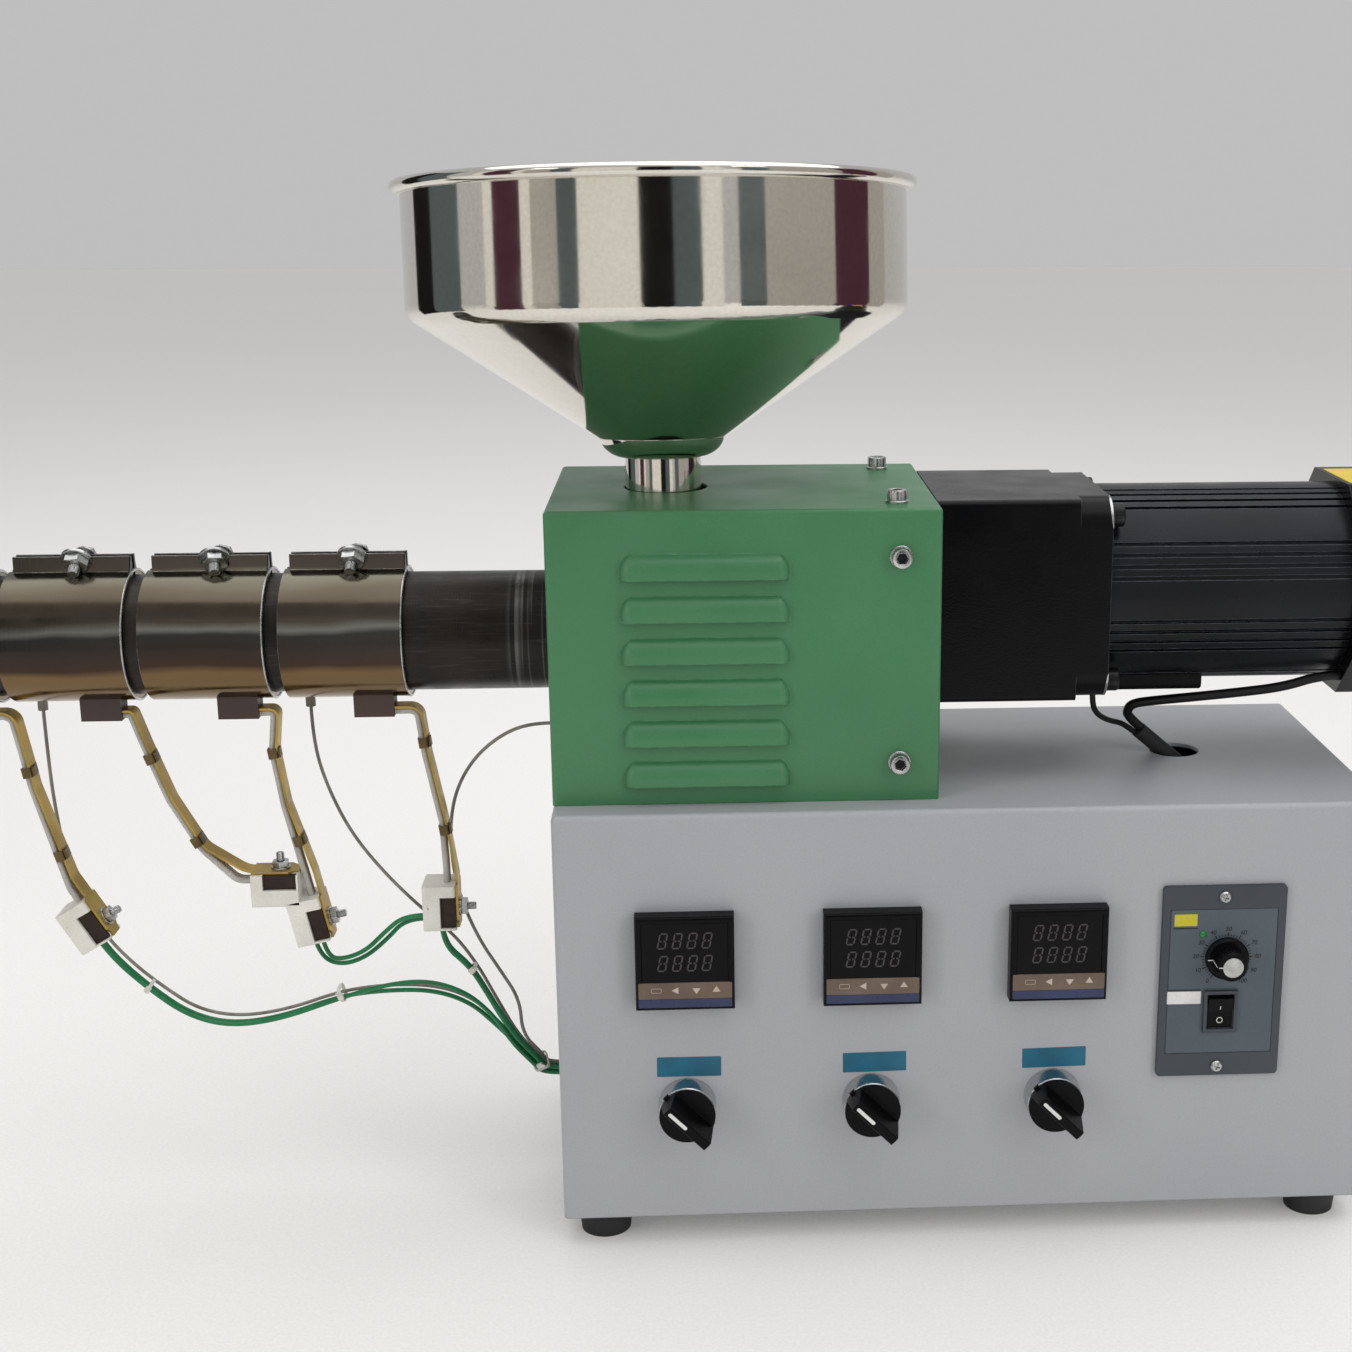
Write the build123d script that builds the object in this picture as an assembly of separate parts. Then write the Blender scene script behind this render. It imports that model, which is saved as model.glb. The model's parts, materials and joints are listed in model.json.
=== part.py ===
from build123d import *
import math
import os

# Benchtop single-screw plastic extruder: a sheet-metal control cabinet on rubber feet carries a
# feed block under a louvred guard, a heated barrel to the left and a gearmotor to the right.
# Millimetres, +Z up, the control panel faces -Y and the barrel points along -X.
# The sizes below are given from the cabinet's front left bottom corner.

# Cabinet
cabinet_width = 406.0
cabinet_depth = 182.0
cabinet_height = 212.0
cabinet_sheet = 2.0
cabinet_corner = 3.0
foot_diameter = 28.0
foot_base_diameter = 25.0
foot_height = 15.0
foot_inset = 20.0
cable_hole_diameter = 26.0
cable_hole_x = cabinet_width - 84.0
cable_hole_y = 94.0

# Drive line, whose axes run along X
drive_y = 89.0
barrel_z = cabinet_height + 71.5
gearbox_z = barrel_z + 21.5

# Louvred guard
guard_length = 188.0
guard_height = 144.0
guard_depth = 144.0
guard_setback = 17.0
guard_sheet = 1.5
guard_corner = 2.0
guard_running_gap = 1.0
louvre_count = 6
louvre_length = 80.0
louvre_height = 12.0
louvre_bulge = 5.0
louvre_pitch = 20.3
louvre_left = 35.0
louvre_rise = 9.8

# Feed block and bearing housing inside the guard
feed_block_left = 22.0
feed_block_length = 78.0
feed_block_width = 84.0
feed_block_top = cabinet_height + guard_height - 22.0
bearing_housing_diameter = 80.0
barrel_seat_depth = 12.0

# Hopper, which leans back and a little to the left on its neck
hopper_x = 55.3
hopper_lean_back = 4.3
hopper_lean_side = 0.6
hopper_sheet = 1.5
neck_diameter = 38.0
neck_height = 15.0
neck_seat_depth = 6.0
belly_radius = 32.0
belly_height = 25.0
bowl_diameter = 246.0
fold_height = 85.0
fold_radius = 10.0
rim_height = 149.0
rim_lip = 5.0
throat_diameter = 30.0
seat_clearance = 0.2

# Barrel, screw and die
barrel_diameter = 60.0
barrel_bore = 26.0
barrel_left = -348.0
screw_diameter = 25.0
screw_root_diameter = 17.0
die_head_diameter = 56.0
die_head_length = 30.0
nozzle_diameter = 26.0
nozzle_tip_diameter = 14.0
nozzle_length = 20.0
nozzle_bore = 6.0

# Heater bands, counted from the die towards the guard
band_count = 4
band_length = 60.0
band_pitch = 67.5
band_last_right = -74.2
band_thickness = 3.0
band_clearance = 0.1
clamp_height = 7.5
clamp_thickness = 1.6
clamp_gap = 4.0
clamp_left_inset = 2.5
clamp_right_inset = 0.5
clamp_front_flare = 0.6
clamp_back_flare = 4.0
lead_cap_length = 20.0
lead_cap_width = 12.0
lead_cap_height = 9.5
lead_cap_setback = 8.0

# Lead straps, sleeved leads and ceramic terminal blocks, which hang in one plane
hang_y = 80.0
lead_exit_drop = 3.5
strap_thickness = 1.2
strap_width = 10.0
strap_bend = 14.0
paddle_length = 24.0
paddle_width = 15.0
paddle_clip = 5.0
sleeve_diameter = 3.2
sleeve_spacing = 4.0
sleeve_gap = 0.2
lead_entry_step = 3.0
lead_entry_run = 8.0
block_length = 24.0
block_thickness = 17.0
block_width = 20.0
block_window_width = 8.0
block_window_length = 17.0
block_window_depth = 4.0
block_window_shift = 2.5

# Gearmotor
gearbox_size = 101.0
gearbox_length = 70.0
gearbox_corner = 3.0
flange_length = 16.0
flange_corner = 14.0
motor_diameter = 100.0
motor_length = 122.0
groove_groups = 8
grooves_per_group = 4
groove_step = 6.6
groove_width = 2.2
groove_depth = 1.8
cowl_size = 107.0
cowl_flat = 58.0
cowl_length = 46.0
cowl_corner = 2.0

# Control panel
controller_size = 48.0
controller_proud = 8.5
controller_body = 44.8
controller_depth = 62.0
controller_first = 62.8
controller_clear = 82.4
speed_inset = 78.4
speed_x = cabinet_width - speed_inset
controller_pitch = (speed_x - controller_clear - controller_first) / 2
controller_xs = tuple(controller_first + index * controller_pitch for index in range(3))
controller_z = cabinet_height - 73.0
controller_recess = 0.8
selector_z = controller_z - 78.0
selector_bezel_diameter = 28.8
selector_bezel_tip_diameter = 28.0
selector_bezel_depth = 11.2
selector_shank_diameter = 22.0
selector_shank_length = 14.0
selector_nut_diameter = 28.0
selector_nut_depth = 4.0
selector_knob_diameter = 27.6
selector_knob_base = 1.8
selector_knob_gap = 0.4
selector_ridge_width = 10.0
selector_ridge_tip_width = 4.6
selector_ridge_depth = 14.0
selector_tab_width = 3.0
selector_tab_reach = 1.2
selector_pivot_diameter = 8.0
selector_pivot_end = 4.0
selector_rest_angle = 45.0
panel_cut_clearance = 0.2
running_clearance = 0.05

# Speed controller
speed_z = cabinet_height - 91.2
speed_width = 61.5
speed_height = 100.5
speed_proud = 2.5
speed_face_inset = 4.0
speed_face_recess = 0.5
speed_body_width = 52.0
speed_body_height = 88.0
speed_body_depth = 42.0
speed_skirt_diameter = 21.6
speed_skirt_height = 3.0
speed_knob_diameter = 15.0
speed_knob_height = 13.0
speed_knob_gap = 0.6
speed_knob_rise = 12.7
speed_knob_offset = 2.0
speed_pivot_diameter = 6.0
speed_pivot_length = 9.0
rocker_drop = 15.5
rocker_width = 12.5
rocker_height = 17.5
rocker_frame_width = 17.0
rocker_frame_height = 22.0
rocker_frame_proud = 1.6
rocker_gap = 0.5
rocker_tilt = 10.0
rocker_pin_diameter = 2.0
rocker_pin_length = 1.2
rocker_pocket_depth = 11.0
knob_x = speed_x + speed_knob_offset
knob_z = speed_z + speed_knob_rise
rocker_z = speed_z - rocker_drop

# Loose wiring
wire_diameter = 2.4
thermocouple_diameter = 1.8
supply_cable_diameter = 5.0
signal_cable_diameter = 3.0
supply_exit_y = 56.4
supply_exit_z = gearbox_z - 43.7
signal_exit_x = 271.0
signal_exit_y = 62.0
gland_diameter = 22.0
gland_proud = 4.0
gland_hole_diameter = 16.0
gland_edge = 1.0
gland_y = 93.0
gland_z = 39.0
grommet_diameter = 8.0
grommet_proud = 3.0
grommet_hole_diameter = 5.0
grommet_y = 70.0
grommet_z = cabinet_height + 27.0
probe_diameter = 5.0
probe_reach = 8.0
probe_set_in = 6.0
probe_y = 98.0
pair_spacing = 3.2
pair_slack = 0.6
port_run = 11.0
layer_step = 2.4
layer_rise = 2.9
sleeve_joint_diameter = 8.4
sleeve_joint_length = 33.0
sleeve_joint_top = (cable_hole_x - 20.5, drive_y, cabinet_height + 13.0)


# Shared helpers


def span_box(x0, x1, y0, y1, z0, z1):
    """A block between two corners."""
    block = Box(x1 - x0, y1 - y0, z1 - z0, align=(Align.MIN, Align.MIN, Align.MIN))
    return Pos(x0, y0, z0) * block


def x_rod(diameter, x0, x1, y, z):
    """A round bar along X."""
    bar = Cylinder(diameter / 2, x1 - x0, align=(Align.CENTER, Align.CENTER, Align.MIN))
    return Pos(x0, y, z) * Rot(0, 90, 0) * bar


def y_rod(diameter, y0, y1, x, z):
    """A round bar along Y."""
    bar = Cylinder(diameter / 2, y1 - y0, align=(Align.CENTER, Align.CENTER, Align.MIN))
    return Pos(x, y0, z) * Rot(-90, 0, 0) * bar


def z_rod(diameter, z0, z1, x, y):
    """A round bar along Z."""
    bar = Cylinder(diameter / 2, z1 - z0, align=(Align.CENTER, Align.CENTER, Align.MIN))
    return Pos(x, y, z0) * bar


def corner_radii(points):
    """Arcs as large as their two runs allow."""
    radii = []
    for before, here, after in zip(points, points[1:], points[2:]):
        into = Vector(*here) - Vector(*before)
        out_of = Vector(*after) - Vector(*here)
        half_turn = math.radians(into.get_angle(out_of) / 2)
        shorter = min(into.length, out_of.length)
        radii.append(0.45 * shorter / math.tan(half_turn))
    return radii


def route(points):
    """Straight runs joined by tangent arcs."""
    return FilletPolyline(*points, radius=corner_radii(points))


def tube(points, diameter):
    """A round cord along a route."""
    path = route(points)
    section = Plane(origin=path @ 0, z_dir=path % 0) * Circle(diameter / 2)
    return sweep(section, path=path)


def unit(dx, dz):
    length = math.hypot(dx, dz)
    return dx / length, dz / length


def shifted(points, distance):
    """The points of a route moved sideways, to the left of its direction in XZ."""
    moved = []
    last = len(points) - 1
    for index, (x, z) in enumerate(points):
        x0, z0 = points[max(index - 1, 0)]
        x1, z1 = points[min(index, last - 1)]
        x2, z2 = points[min(index + 1, last)]
        into = unit(x - x0, z - z0) if index else unit(x2 - x, z2 - z)
        out_of = unit(x2 - x1, z2 - z1)
        bisector = unit(into[0] + out_of[0], into[1] + out_of[1])
        reach = distance / (bisector[0] * into[0] + bisector[1] * into[1])
        moved.append((x + bisector[1] * reach, z - bisector[0] * reach))
    return moved


# Cabinet


def cabinet_body():
    body = span_box(0, cabinet_width, 0, cabinet_depth, 0, cabinet_height)
    uprights = body.edges().filter_by(Axis.Z).sort_by(Axis.Y)[:2]
    rims = body.faces().sort_by(Axis.Z)[-1].edges().sort_by(Axis.Y)[:3]
    body = fillet(uprights + rims, cabinet_corner)
    hollow = span_box(
        cabinet_sheet,
        cabinet_width - cabinet_sheet,
        cabinet_sheet,
        cabinet_depth,
        0,
        cabinet_height - cabinet_sheet,
    )
    body -= hollow
    cut = controller_body / 2 + panel_cut_clearance
    for x in controller_xs:
        body -= span_box(x - cut, x + cut, -1, cabinet_sheet + 1, controller_z - cut, controller_z + cut)
        body -= y_rod(selector_shank_diameter + 2 * panel_cut_clearance, -1, cabinet_sheet + 1, x, selector_z)
    half_width = speed_body_width / 2 + panel_cut_clearance
    half_height = speed_body_height / 2 + panel_cut_clearance
    body -= span_box(
        speed_x - half_width,
        speed_x + half_width,
        -1,
        cabinet_sheet + 1,
        speed_z - half_height,
        speed_z + half_height,
    )
    body -= z_rod(cable_hole_diameter, cabinet_height - cabinet_sheet - 1, cabinet_height + 1,
                  cable_hole_x, cable_hole_y)
    body -= x_rod(gland_hole_diameter, -1, cabinet_sheet + 1, gland_y, gland_z)
    return body


def cabinet_base():
    right = cabinet_width - cabinet_sheet
    return span_box(cabinet_sheet, right, cabinet_sheet, cabinet_depth, 0, cabinet_sheet)


def cabinet_back_panel():
    return span_box(
        cabinet_sheet,
        cabinet_width - cabinet_sheet,
        cabinet_depth - cabinet_sheet,
        cabinet_depth,
        cabinet_sheet,
        cabinet_height - cabinet_sheet,
    )


def cabinet_feet():
    feet = []
    for x in (foot_inset, cabinet_width - foot_inset):
        for y in (foot_inset, cabinet_depth - foot_inset):
            foot = Cone(
                foot_base_diameter / 2,
                foot_diameter / 2,
                foot_height,
                align=(Align.CENTER, Align.CENTER, Align.MIN),
            )
            feet.append(Pos(x, y, -foot_height) * foot)
    return feet


def wiring_gland():
    """The grommet in the cabinet's left wall that the harness ends at."""
    collar = x_rod(gland_diameter, -gland_proud, 0, gland_y, gland_z)
    collar = fillet(collar.edges().sort_by(Axis.X)[0], gland_edge)
    shank = x_rod(gland_hole_diameter, 0, cabinet_sheet + gland_proud, gland_y, gland_z)
    return collar + shank


def guard_grommet():
    """The small grommet in the guard's left wall for the third thermocouple lead."""
    collar = x_rod(grommet_diameter, -grommet_proud, 0, grommet_y, grommet_z)
    shank = x_rod(grommet_hole_diameter, 0, guard_sheet + 1, grommet_y, grommet_z)
    return collar + shank


# Guard


def guard_louvre(z_low):
    """One pressed louvre, open below and rounded at its ends: its hood, its hollow and the slot behind."""
    front = guard_setback
    x0 = louvre_left + louvre_bulge
    x1 = louvre_left + louvre_length - louvre_bulge

    def hood(inset):
        top = z_low + louvre_height - inset
        reach = louvre_bulge - inset
        lip = z_low + louvre_height / 3
        shoulder = z_low + 0.72 * (louvre_height - inset)
        profile = make_face(
            Line((0, top), (0, z_low))
            + Line((0, z_low), (reach, z_low))
            + Line((reach, z_low), (reach, lip))
            + ThreePointArc((reach, lip), (0.72 * reach, shoulder), (0, top))
        )
        end = revolve(Plane.XZ * profile, Axis.Z)
        side = Plane(origin=(x0, front, 0), x_dir=(0, -1, 0), z_dir=(-1, 0, 0))
        middle = extrude(side * profile, x1 - x0, dir=(1, 0, 0))
        solid = middle + Pos(x0, front, 0) * end + Pos(x1, front, 0) * end
        back = front + guard_sheet / 2
        ahead = span_box(x0 - reach, x1 + reach, front - louvre_bulge, back, z_low, top)
        return solid & ahead

    slot_top = z_low + louvre_height - 2 * guard_sheet
    slot = span_box(x0, x1, front - 0.5, front + guard_sheet + 0.5, z_low, slot_top)
    return hood(0), hood(guard_sheet), slot


def guard_cover():
    front = guard_setback
    back = guard_setback + guard_depth
    top = cabinet_height + guard_height
    cover = span_box(0, guard_length, front, back, cabinet_height, top)
    rims = cover.edges().filter_by(Axis.Z) + cover.faces().sort_by(Axis.Z)[-1].edges()
    cover = fillet(rims, guard_corner)
    cover -= span_box(
        guard_sheet,
        guard_length - guard_sheet,
        front + guard_sheet,
        back - guard_sheet,
        cabinet_height,
        top - guard_sheet,
    )
    for index in range(louvre_count):
        hood, hollow, slot = guard_louvre(cabinet_height + louvre_rise + index * louvre_pitch)
        cover += hood
        cover -= hollow
        cover -= slot
    neck_hole = neck_diameter + 4 * guard_running_gap
    cover -= z_rod(neck_hole, top - guard_sheet - 1, top + 1, hopper_x + guard_running_gap, drive_y)
    cover -= x_rod(barrel_diameter + 2 * guard_running_gap, -1, guard_sheet + 1, drive_y, barrel_z)
    cover -= x_rod(grommet_hole_diameter, -1, guard_sheet + 1, grommet_y, grommet_z)
    cover -= x_rod(
        bearing_housing_diameter + 2 * guard_running_gap,
        guard_length - guard_sheet - 1,
        guard_length + 1,
        drive_y,
        barrel_z,
    )
    return cover


# Hopper


def hopper_place():
    """The leaning axis of the hopper, from the top of the guard."""
    return (
        Pos(hopper_x, drive_y, cabinet_height + guard_height)
        * Rot(-hopper_lean_back, 0, 0)
        * Rot(0, -hopper_lean_side, 0)
    )


def neck_foot():
    """How far the neck's end lies below the top of the guard."""
    return cabinet_height + guard_height - feed_block_top + neck_seat_depth


def hopper_bowl():
    outer = bowl_diameter / 2
    sheet = hopper_sheet
    section = (
        Line((belly_radius, belly_height), (outer, fold_height))
        + Line((outer, fold_height), (outer, rim_height - rim_lip))
        + ThreePointArc(
            (outer, rim_height - rim_lip),
            (outer + rim_lip, rim_height - rim_lip / 2),
            (outer, rim_height),
        )
        + Line((outer, rim_height), (outer - sheet, rim_height - sheet))
        + Line((outer - sheet, rim_height - sheet), (outer - sheet, fold_height + sheet))
        + Line((outer - sheet, fold_height + sheet), (belly_radius - sheet, belly_height + sheet))
        + Line((belly_radius - sheet, belly_height + sheet), (belly_radius, belly_height))
    )
    bowl = revolve(Plane.XZ * make_face(section), Axis.Z)
    for height, radius in ((fold_height, fold_radius), (fold_height + sheet, fold_radius - sheet)):
        bowl = fillet(bowl.edges().filter_by_position(Axis.Z, height - 0.1, height + 0.1), radius)
    return hopper_place() * bowl


def hopper_neck():
    outer = neck_diameter / 2
    inner = outer - hopper_sheet
    foot = -neck_foot()
    sheet = hopper_sheet
    section = (
        Line((inner, foot), (outer, foot))
        + Line((outer, foot), (outer, neck_height))
        + ThreePointArc(
            (outer, neck_height),
            (outer + 0.62 * (belly_radius - outer), neck_height + 0.3 * (belly_height - neck_height)),
            (belly_radius, belly_height),
        )
        + Line((belly_radius, belly_height), (belly_radius - sheet, belly_height + sheet))
        + ThreePointArc(
            (belly_radius - sheet, belly_height + sheet),
            (inner + 0.6 * (belly_radius - outer), neck_height + sheet + 0.32 * (belly_height - neck_height)),
            (inner, neck_height + sheet),
        )
        + Line((inner, neck_height + sheet), (inner, foot))
    )
    return hopper_place() * revolve(Plane.XZ * make_face(section), Axis.Z)


# Feed block, barrel and die


def feed_block():
    x0 = feed_block_left
    x1 = feed_block_left + feed_block_length
    half = feed_block_width / 2
    block = span_box(x0, x1, drive_y - half, drive_y + half, cabinet_height, feed_block_top)
    block = chamfer(block.edges().filter_by(Axis.X), 3.0)
    seat = Cylinder(
        neck_diameter / 2 + seat_clearance,
        neck_foot() + 20,
        align=(Align.CENTER, Align.CENTER, Align.MIN),
    )
    throat_top = cabinet_height + guard_height - barrel_z
    throat = Cylinder(throat_diameter / 2, throat_top, align=(Align.CENTER, Align.CENTER, Align.MAX))
    block -= hopper_place() * Pos(0, 0, -neck_foot()) * seat
    block -= hopper_place() * throat
    block -= x_rod(barrel_diameter + 2 * band_clearance, x0 - 1, x0 + barrel_seat_depth, drive_y, barrel_z)
    block -= x_rod(barrel_bore, x0, x1 + 1, drive_y, barrel_z)
    return block


def bearing_housing():
    x0 = feed_block_left + feed_block_length
    housing = x_rod(bearing_housing_diameter, x0, guard_length, drive_y, barrel_z)
    return housing - x_rod(barrel_bore, x0 - 1, guard_length + 1, drive_y, barrel_z)


def extruder_screw():
    tip = barrel_left + 6
    root = x_rod(screw_root_diameter, tip, guard_length - 1, drive_y, barrel_z)
    shank = x_rod(screw_diameter, feed_block_left + feed_block_length, guard_length - 1, drive_y, barrel_z)
    return root + shank


def barrel():
    right = feed_block_left + barrel_seat_depth
    body = x_rod(barrel_diameter, barrel_left, right, drive_y, barrel_z)
    body -= x_rod(barrel_bore, barrel_left - 1, right + 1, drive_y, barrel_z)
    return body


def die_head():
    x0 = barrel_left - die_head_length
    head = x_rod(die_head_diameter, x0, barrel_left, drive_y, barrel_z)
    head = chamfer(head.edges().sort_by(Axis.X)[0], 4.0)
    return head - x_rod(nozzle_bore, x0 - 1, barrel_left + 1, drive_y, barrel_z)


def die_nozzle():
    x1 = barrel_left - die_head_length
    taper = Cone(
        nozzle_diameter / 2,
        nozzle_tip_diameter / 2,
        nozzle_length,
        align=(Align.CENTER, Align.CENTER, Align.MIN),
    )
    nozzle = Pos(x1, drive_y, barrel_z) * Rot(0, -90, 0) * taper
    return nozzle - x_rod(nozzle_bore, x1 - nozzle_length - 1, x1 + 1, drive_y, barrel_z)


# Heater bands with their caps, straps, leads and blocks

band_outer = barrel_diameter / 2 + band_clearance + band_thickness


def band_right(number):
    """The right rim of a band, counted from 1 at the die."""
    return band_last_right - (band_count - number) * band_pitch


def clamp_ear(x0, x1, side, flare):
    """One of the two edges of a band's sheet that turn up beside the split."""
    inner = side * clamp_gap / 2
    outer = inner + side * clamp_thickness
    foot = band_outer - 1.2
    outline = [(inner, foot), (outer + side * flare, foot), (outer, band_outer + clamp_height)]
    outline += [(inner, band_outer + clamp_height)]
    plane = Plane(origin=(x0, drive_y, barrel_z), x_dir=(0, 1, 0), z_dir=(1, 0, 0))
    return extrude(plane * Polygon(*outline, align=None), x1 - x0, dir=(1, 0, 0))


def heater_band(number):
    x1 = band_right(number)
    x0 = x1 - band_length
    band = x_rod(2 * band_outer, x0, x1, drive_y, barrel_z)
    for side, flare in ((-1, clamp_front_flare), (1, clamp_back_flare)):
        band += clamp_ear(x0 + clamp_left_inset, x1 - clamp_right_inset, side, flare)
    band -= x_rod(barrel_diameter + 2 * band_clearance, x0 - 1, x1 + 1, drive_y, barrel_z)
    band -= span_box(
        x0 - 1,
        x1 + 1,
        drive_y - clamp_gap / 2,
        drive_y + clamp_gap / 2,
        barrel_z,
        barrel_z + band_outer + clamp_height + 1,
    )
    if number in probed_bands:
        band -= z_rod(probe_diameter + 1, probe_end(), barrel_z, probe_x(number), probe_y)
    return band


probed_bands = (2, 4)


def probe_x(number):
    """The place of a band's thermocouple probe, near its left rim."""
    return band_right(number) - band_length + probe_set_in


def probe_end():
    return barrel_z - band_outer - probe_reach


def thermocouple_probes():
    """Probes that stand on the barrel's underside, each through a hole in its band."""
    probes = []
    for number in probed_bands:
        x = probe_x(number)
        probe = z_rod(probe_diameter, probe_end(), barrel_z, x, probe_y)
        probe -= x_rod(barrel_diameter, x - probe_diameter, x + probe_diameter, drive_y, barrel_z)
        probes.append(probe)
    return probes


def lead_caps():
    caps = []
    for number in range(1, band_count + 1):
        x1 = band_right(number) - lead_cap_setback
        cap = span_box(
            x1 - lead_cap_length,
            x1,
            hang_y - lead_cap_width / 2,
            hang_y + lead_cap_width / 2,
            barrel_z - band_outer - lead_cap_height + 1.5,
            barrel_z,
        )
        caps.append(cap - x_rod(2 * band_outer, x1 - lead_cap_length - 1, x1 + 1, drive_y, barrel_z))
    return caps


def strap_points(number):
    """The strap's route in XZ, cap to paddle end, set out by its drops below the barrel's axis."""
    x = band_right(number)
    exit_drop = band_outer + lead_exit_drop
    routes = (
        [(6, exit_drop), (13, 76.5), (27, 124.5), (45.2, 156)],
        [(-3, exit_drop), (3, 55.5), (13, 83.5), (27, 109.5), (47, 123), (74, 123)],
        [(1.5, exit_drop), (-1, 59.5), (3, 87.5), (14, 123.5), (21.5, 159.5)],
        [(5, exit_drop), (8, 61.5), (15, 98.5), (19, 127.5), (19, 155.5)],
    )
    from_cap = [(-lead_cap_setback, exit_drop)] + routes[number - 1]
    return [(x + along, barrel_z - drop) for along, drop in from_cap]


def hung(points):
    """Points of the XZ plane, laid in the hanging plane."""
    return [(x, hang_y, z) for x, z in points]


def strap_radii(points):
    return [min(radius, strap_bend) for radius in corner_radii(hung(points))]


def turns_right(before, here, after):
    """Whether a route in XZ turns clockwise at a point, seen from the front."""
    into = (here[0] - before[0], here[1] - before[1])
    out_of = (after[0] - here[0], after[1] - here[1])
    return into[0] * out_of[1] < into[1] * out_of[0]


def end_frame(number):
    """The strap's end point with its direction and the side that the block is on."""
    points = strap_points(number)
    direction = unit(points[-1][0] - points[-2][0], points[-1][1] - points[-2][1])
    side = (direction[1], -direction[0])
    return points[-1], direction, side


def block_place(number):
    """The middle of the ceramic block, with its length along local Z."""
    (x, z), (dx, dz), (sx, sz) = end_frame(number)
    away = strap_thickness / 2 + block_thickness / 2
    middle_x = x - dx * block_length / 2 + sx * away
    middle_z = z - dz * block_length / 2 + sz * away
    turn = math.degrees(math.atan2(-dx, -dz))
    return Pos(middle_x, hang_y, middle_z) * Rot(0, turn, 0)


def lead_strap(number):
    points = strap_points(number)
    path = FilletPolyline(*hung(points), radius=strap_radii(points))
    start = Plane(origin=path @ 0, x_dir=(0, 1, 0), z_dir=path % 0)
    strap = sweep(start * Rectangle(strap_width, strap_thickness), path=path)
    (x, z), (dx, dz), _ = end_frame(number)
    turn = math.degrees(math.atan2(-dx, -dz))
    paddle = Box(strap_thickness, paddle_width, paddle_length)
    corners = paddle.edges().filter_by(Axis.X).sort_by(Axis.Z)
    paddle = chamfer(corners[:2], paddle_clip)
    half = paddle_length / 2
    return strap + Pos(x - dx * half, hang_y, z - dz * half) * Rot(0, turn, 0) * paddle


def terminal_block(number):
    block = Box(block_thickness, block_width, block_length)
    block = fillet(block.edges().filter_by(Axis.Z), 1.0)
    window = Box(block_window_width, block_window_depth, block_window_length)
    beside_strap = (block_thickness - block_window_width) / 2
    for side in (-1, 1):
        aside = side * (block_width - block_window_depth) / 2
        block -= Pos(beside_strap, aside, -block_window_shift) * window
    return block_place(number) * block


def sleeved_leads(number):
    """Two sleeved leads under each strap, from its cap into the top of its block."""
    points = strap_points(number)
    side_step = strap_thickness / 2 + sleeve_diameter / 2 + sleeve_gap
    (x, z), (dx, dz), (sx, sz) = end_frame(number)
    entry_side = side_step + lead_entry_step
    entry = (x - dx * block_length + sx * entry_side, z - dz * block_length + sz * entry_side)
    above = (entry[0] - dx * lead_entry_run, entry[1] - dz * lead_entry_run)
    line = shifted(points, side_step)[:-2] + [above, entry]
    radii = []
    for index, radius in enumerate(strap_radii(points)[:-2]):
        inside = turns_right(*points[index:index + 3])
        radii.append(radius - side_step if inside else radius + side_step)
    radii += [min(radius, strap_bend) for radius in corner_radii(hung(line))[-2:]]
    leads = []
    for offset in (-sleeve_spacing / 2, sleeve_spacing / 2):
        path = FilletPolyline(*[(px, hang_y + offset, pz) for px, pz in line], radius=radii[:len(line) - 2])
        section = Plane(origin=path @ 0, z_dir=path % 0) * Circle(sleeve_diameter / 2)
        leads.append(sweep(section, path=path))
    return leads


# Gearmotor


def gearbox():
    y0 = drive_y - gearbox_size / 2
    y1 = drive_y + gearbox_size / 2
    z0 = gearbox_z - gearbox_size / 2
    z1 = gearbox_z + gearbox_size / 2
    x1 = guard_length + gearbox_length
    x2 = x1 + flange_length
    case = span_box(guard_length, x1, y0, y1, z0, z1)
    case = fillet(case.edges().filter_by(Axis.X), gearbox_corner)
    flange = span_box(x1, x2, y0, y1, z0, z1)
    flange = fillet(flange.edges().filter_by(Axis.X), flange_corner)
    return case + flange


def motor_body():
    x0 = guard_length + gearbox_length + flange_length
    body = x_rod(motor_diameter, x0, x0 + motor_length, drive_y, gearbox_z)
    middle = (grooves_per_group - 1) / 2
    groove = Box(motor_length, groove_width, 2 * groove_depth, align=(Align.MIN, Align.CENTER, Align.CENTER))
    place = Pos(x0, drive_y, gearbox_z)
    grooves = []
    for group in range(groove_groups):
        for index in range(grooves_per_group):
            angle = 22.5 + group * 360 / groove_groups + (index - middle) * groove_step
            grooves.append(place * Rot(angle, 0, 0) * Pos(0, 0, motor_diameter / 2) * groove)
    return body - grooves


def motor_end_cowl():
    x0 = guard_length + gearbox_length + flange_length + motor_length
    half = cowl_size / 2
    flat = cowl_flat / 2
    outline = [(half, flat), (flat, half), (-flat, half), (-half, flat),
               (-half, -flat), (-flat, -half), (flat, -half), (half, -flat)]
    plane = Plane(origin=(x0, drive_y, gearbox_z), x_dir=(0, 1, 0), z_dir=(1, 0, 0))
    cowl = extrude(plane * Polygon(*outline, align=None), cowl_length, dir=(1, 0, 0))
    return fillet(cowl.faces().sort_by(Axis.X)[-1].edges(), cowl_corner)


# Control panel


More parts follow.
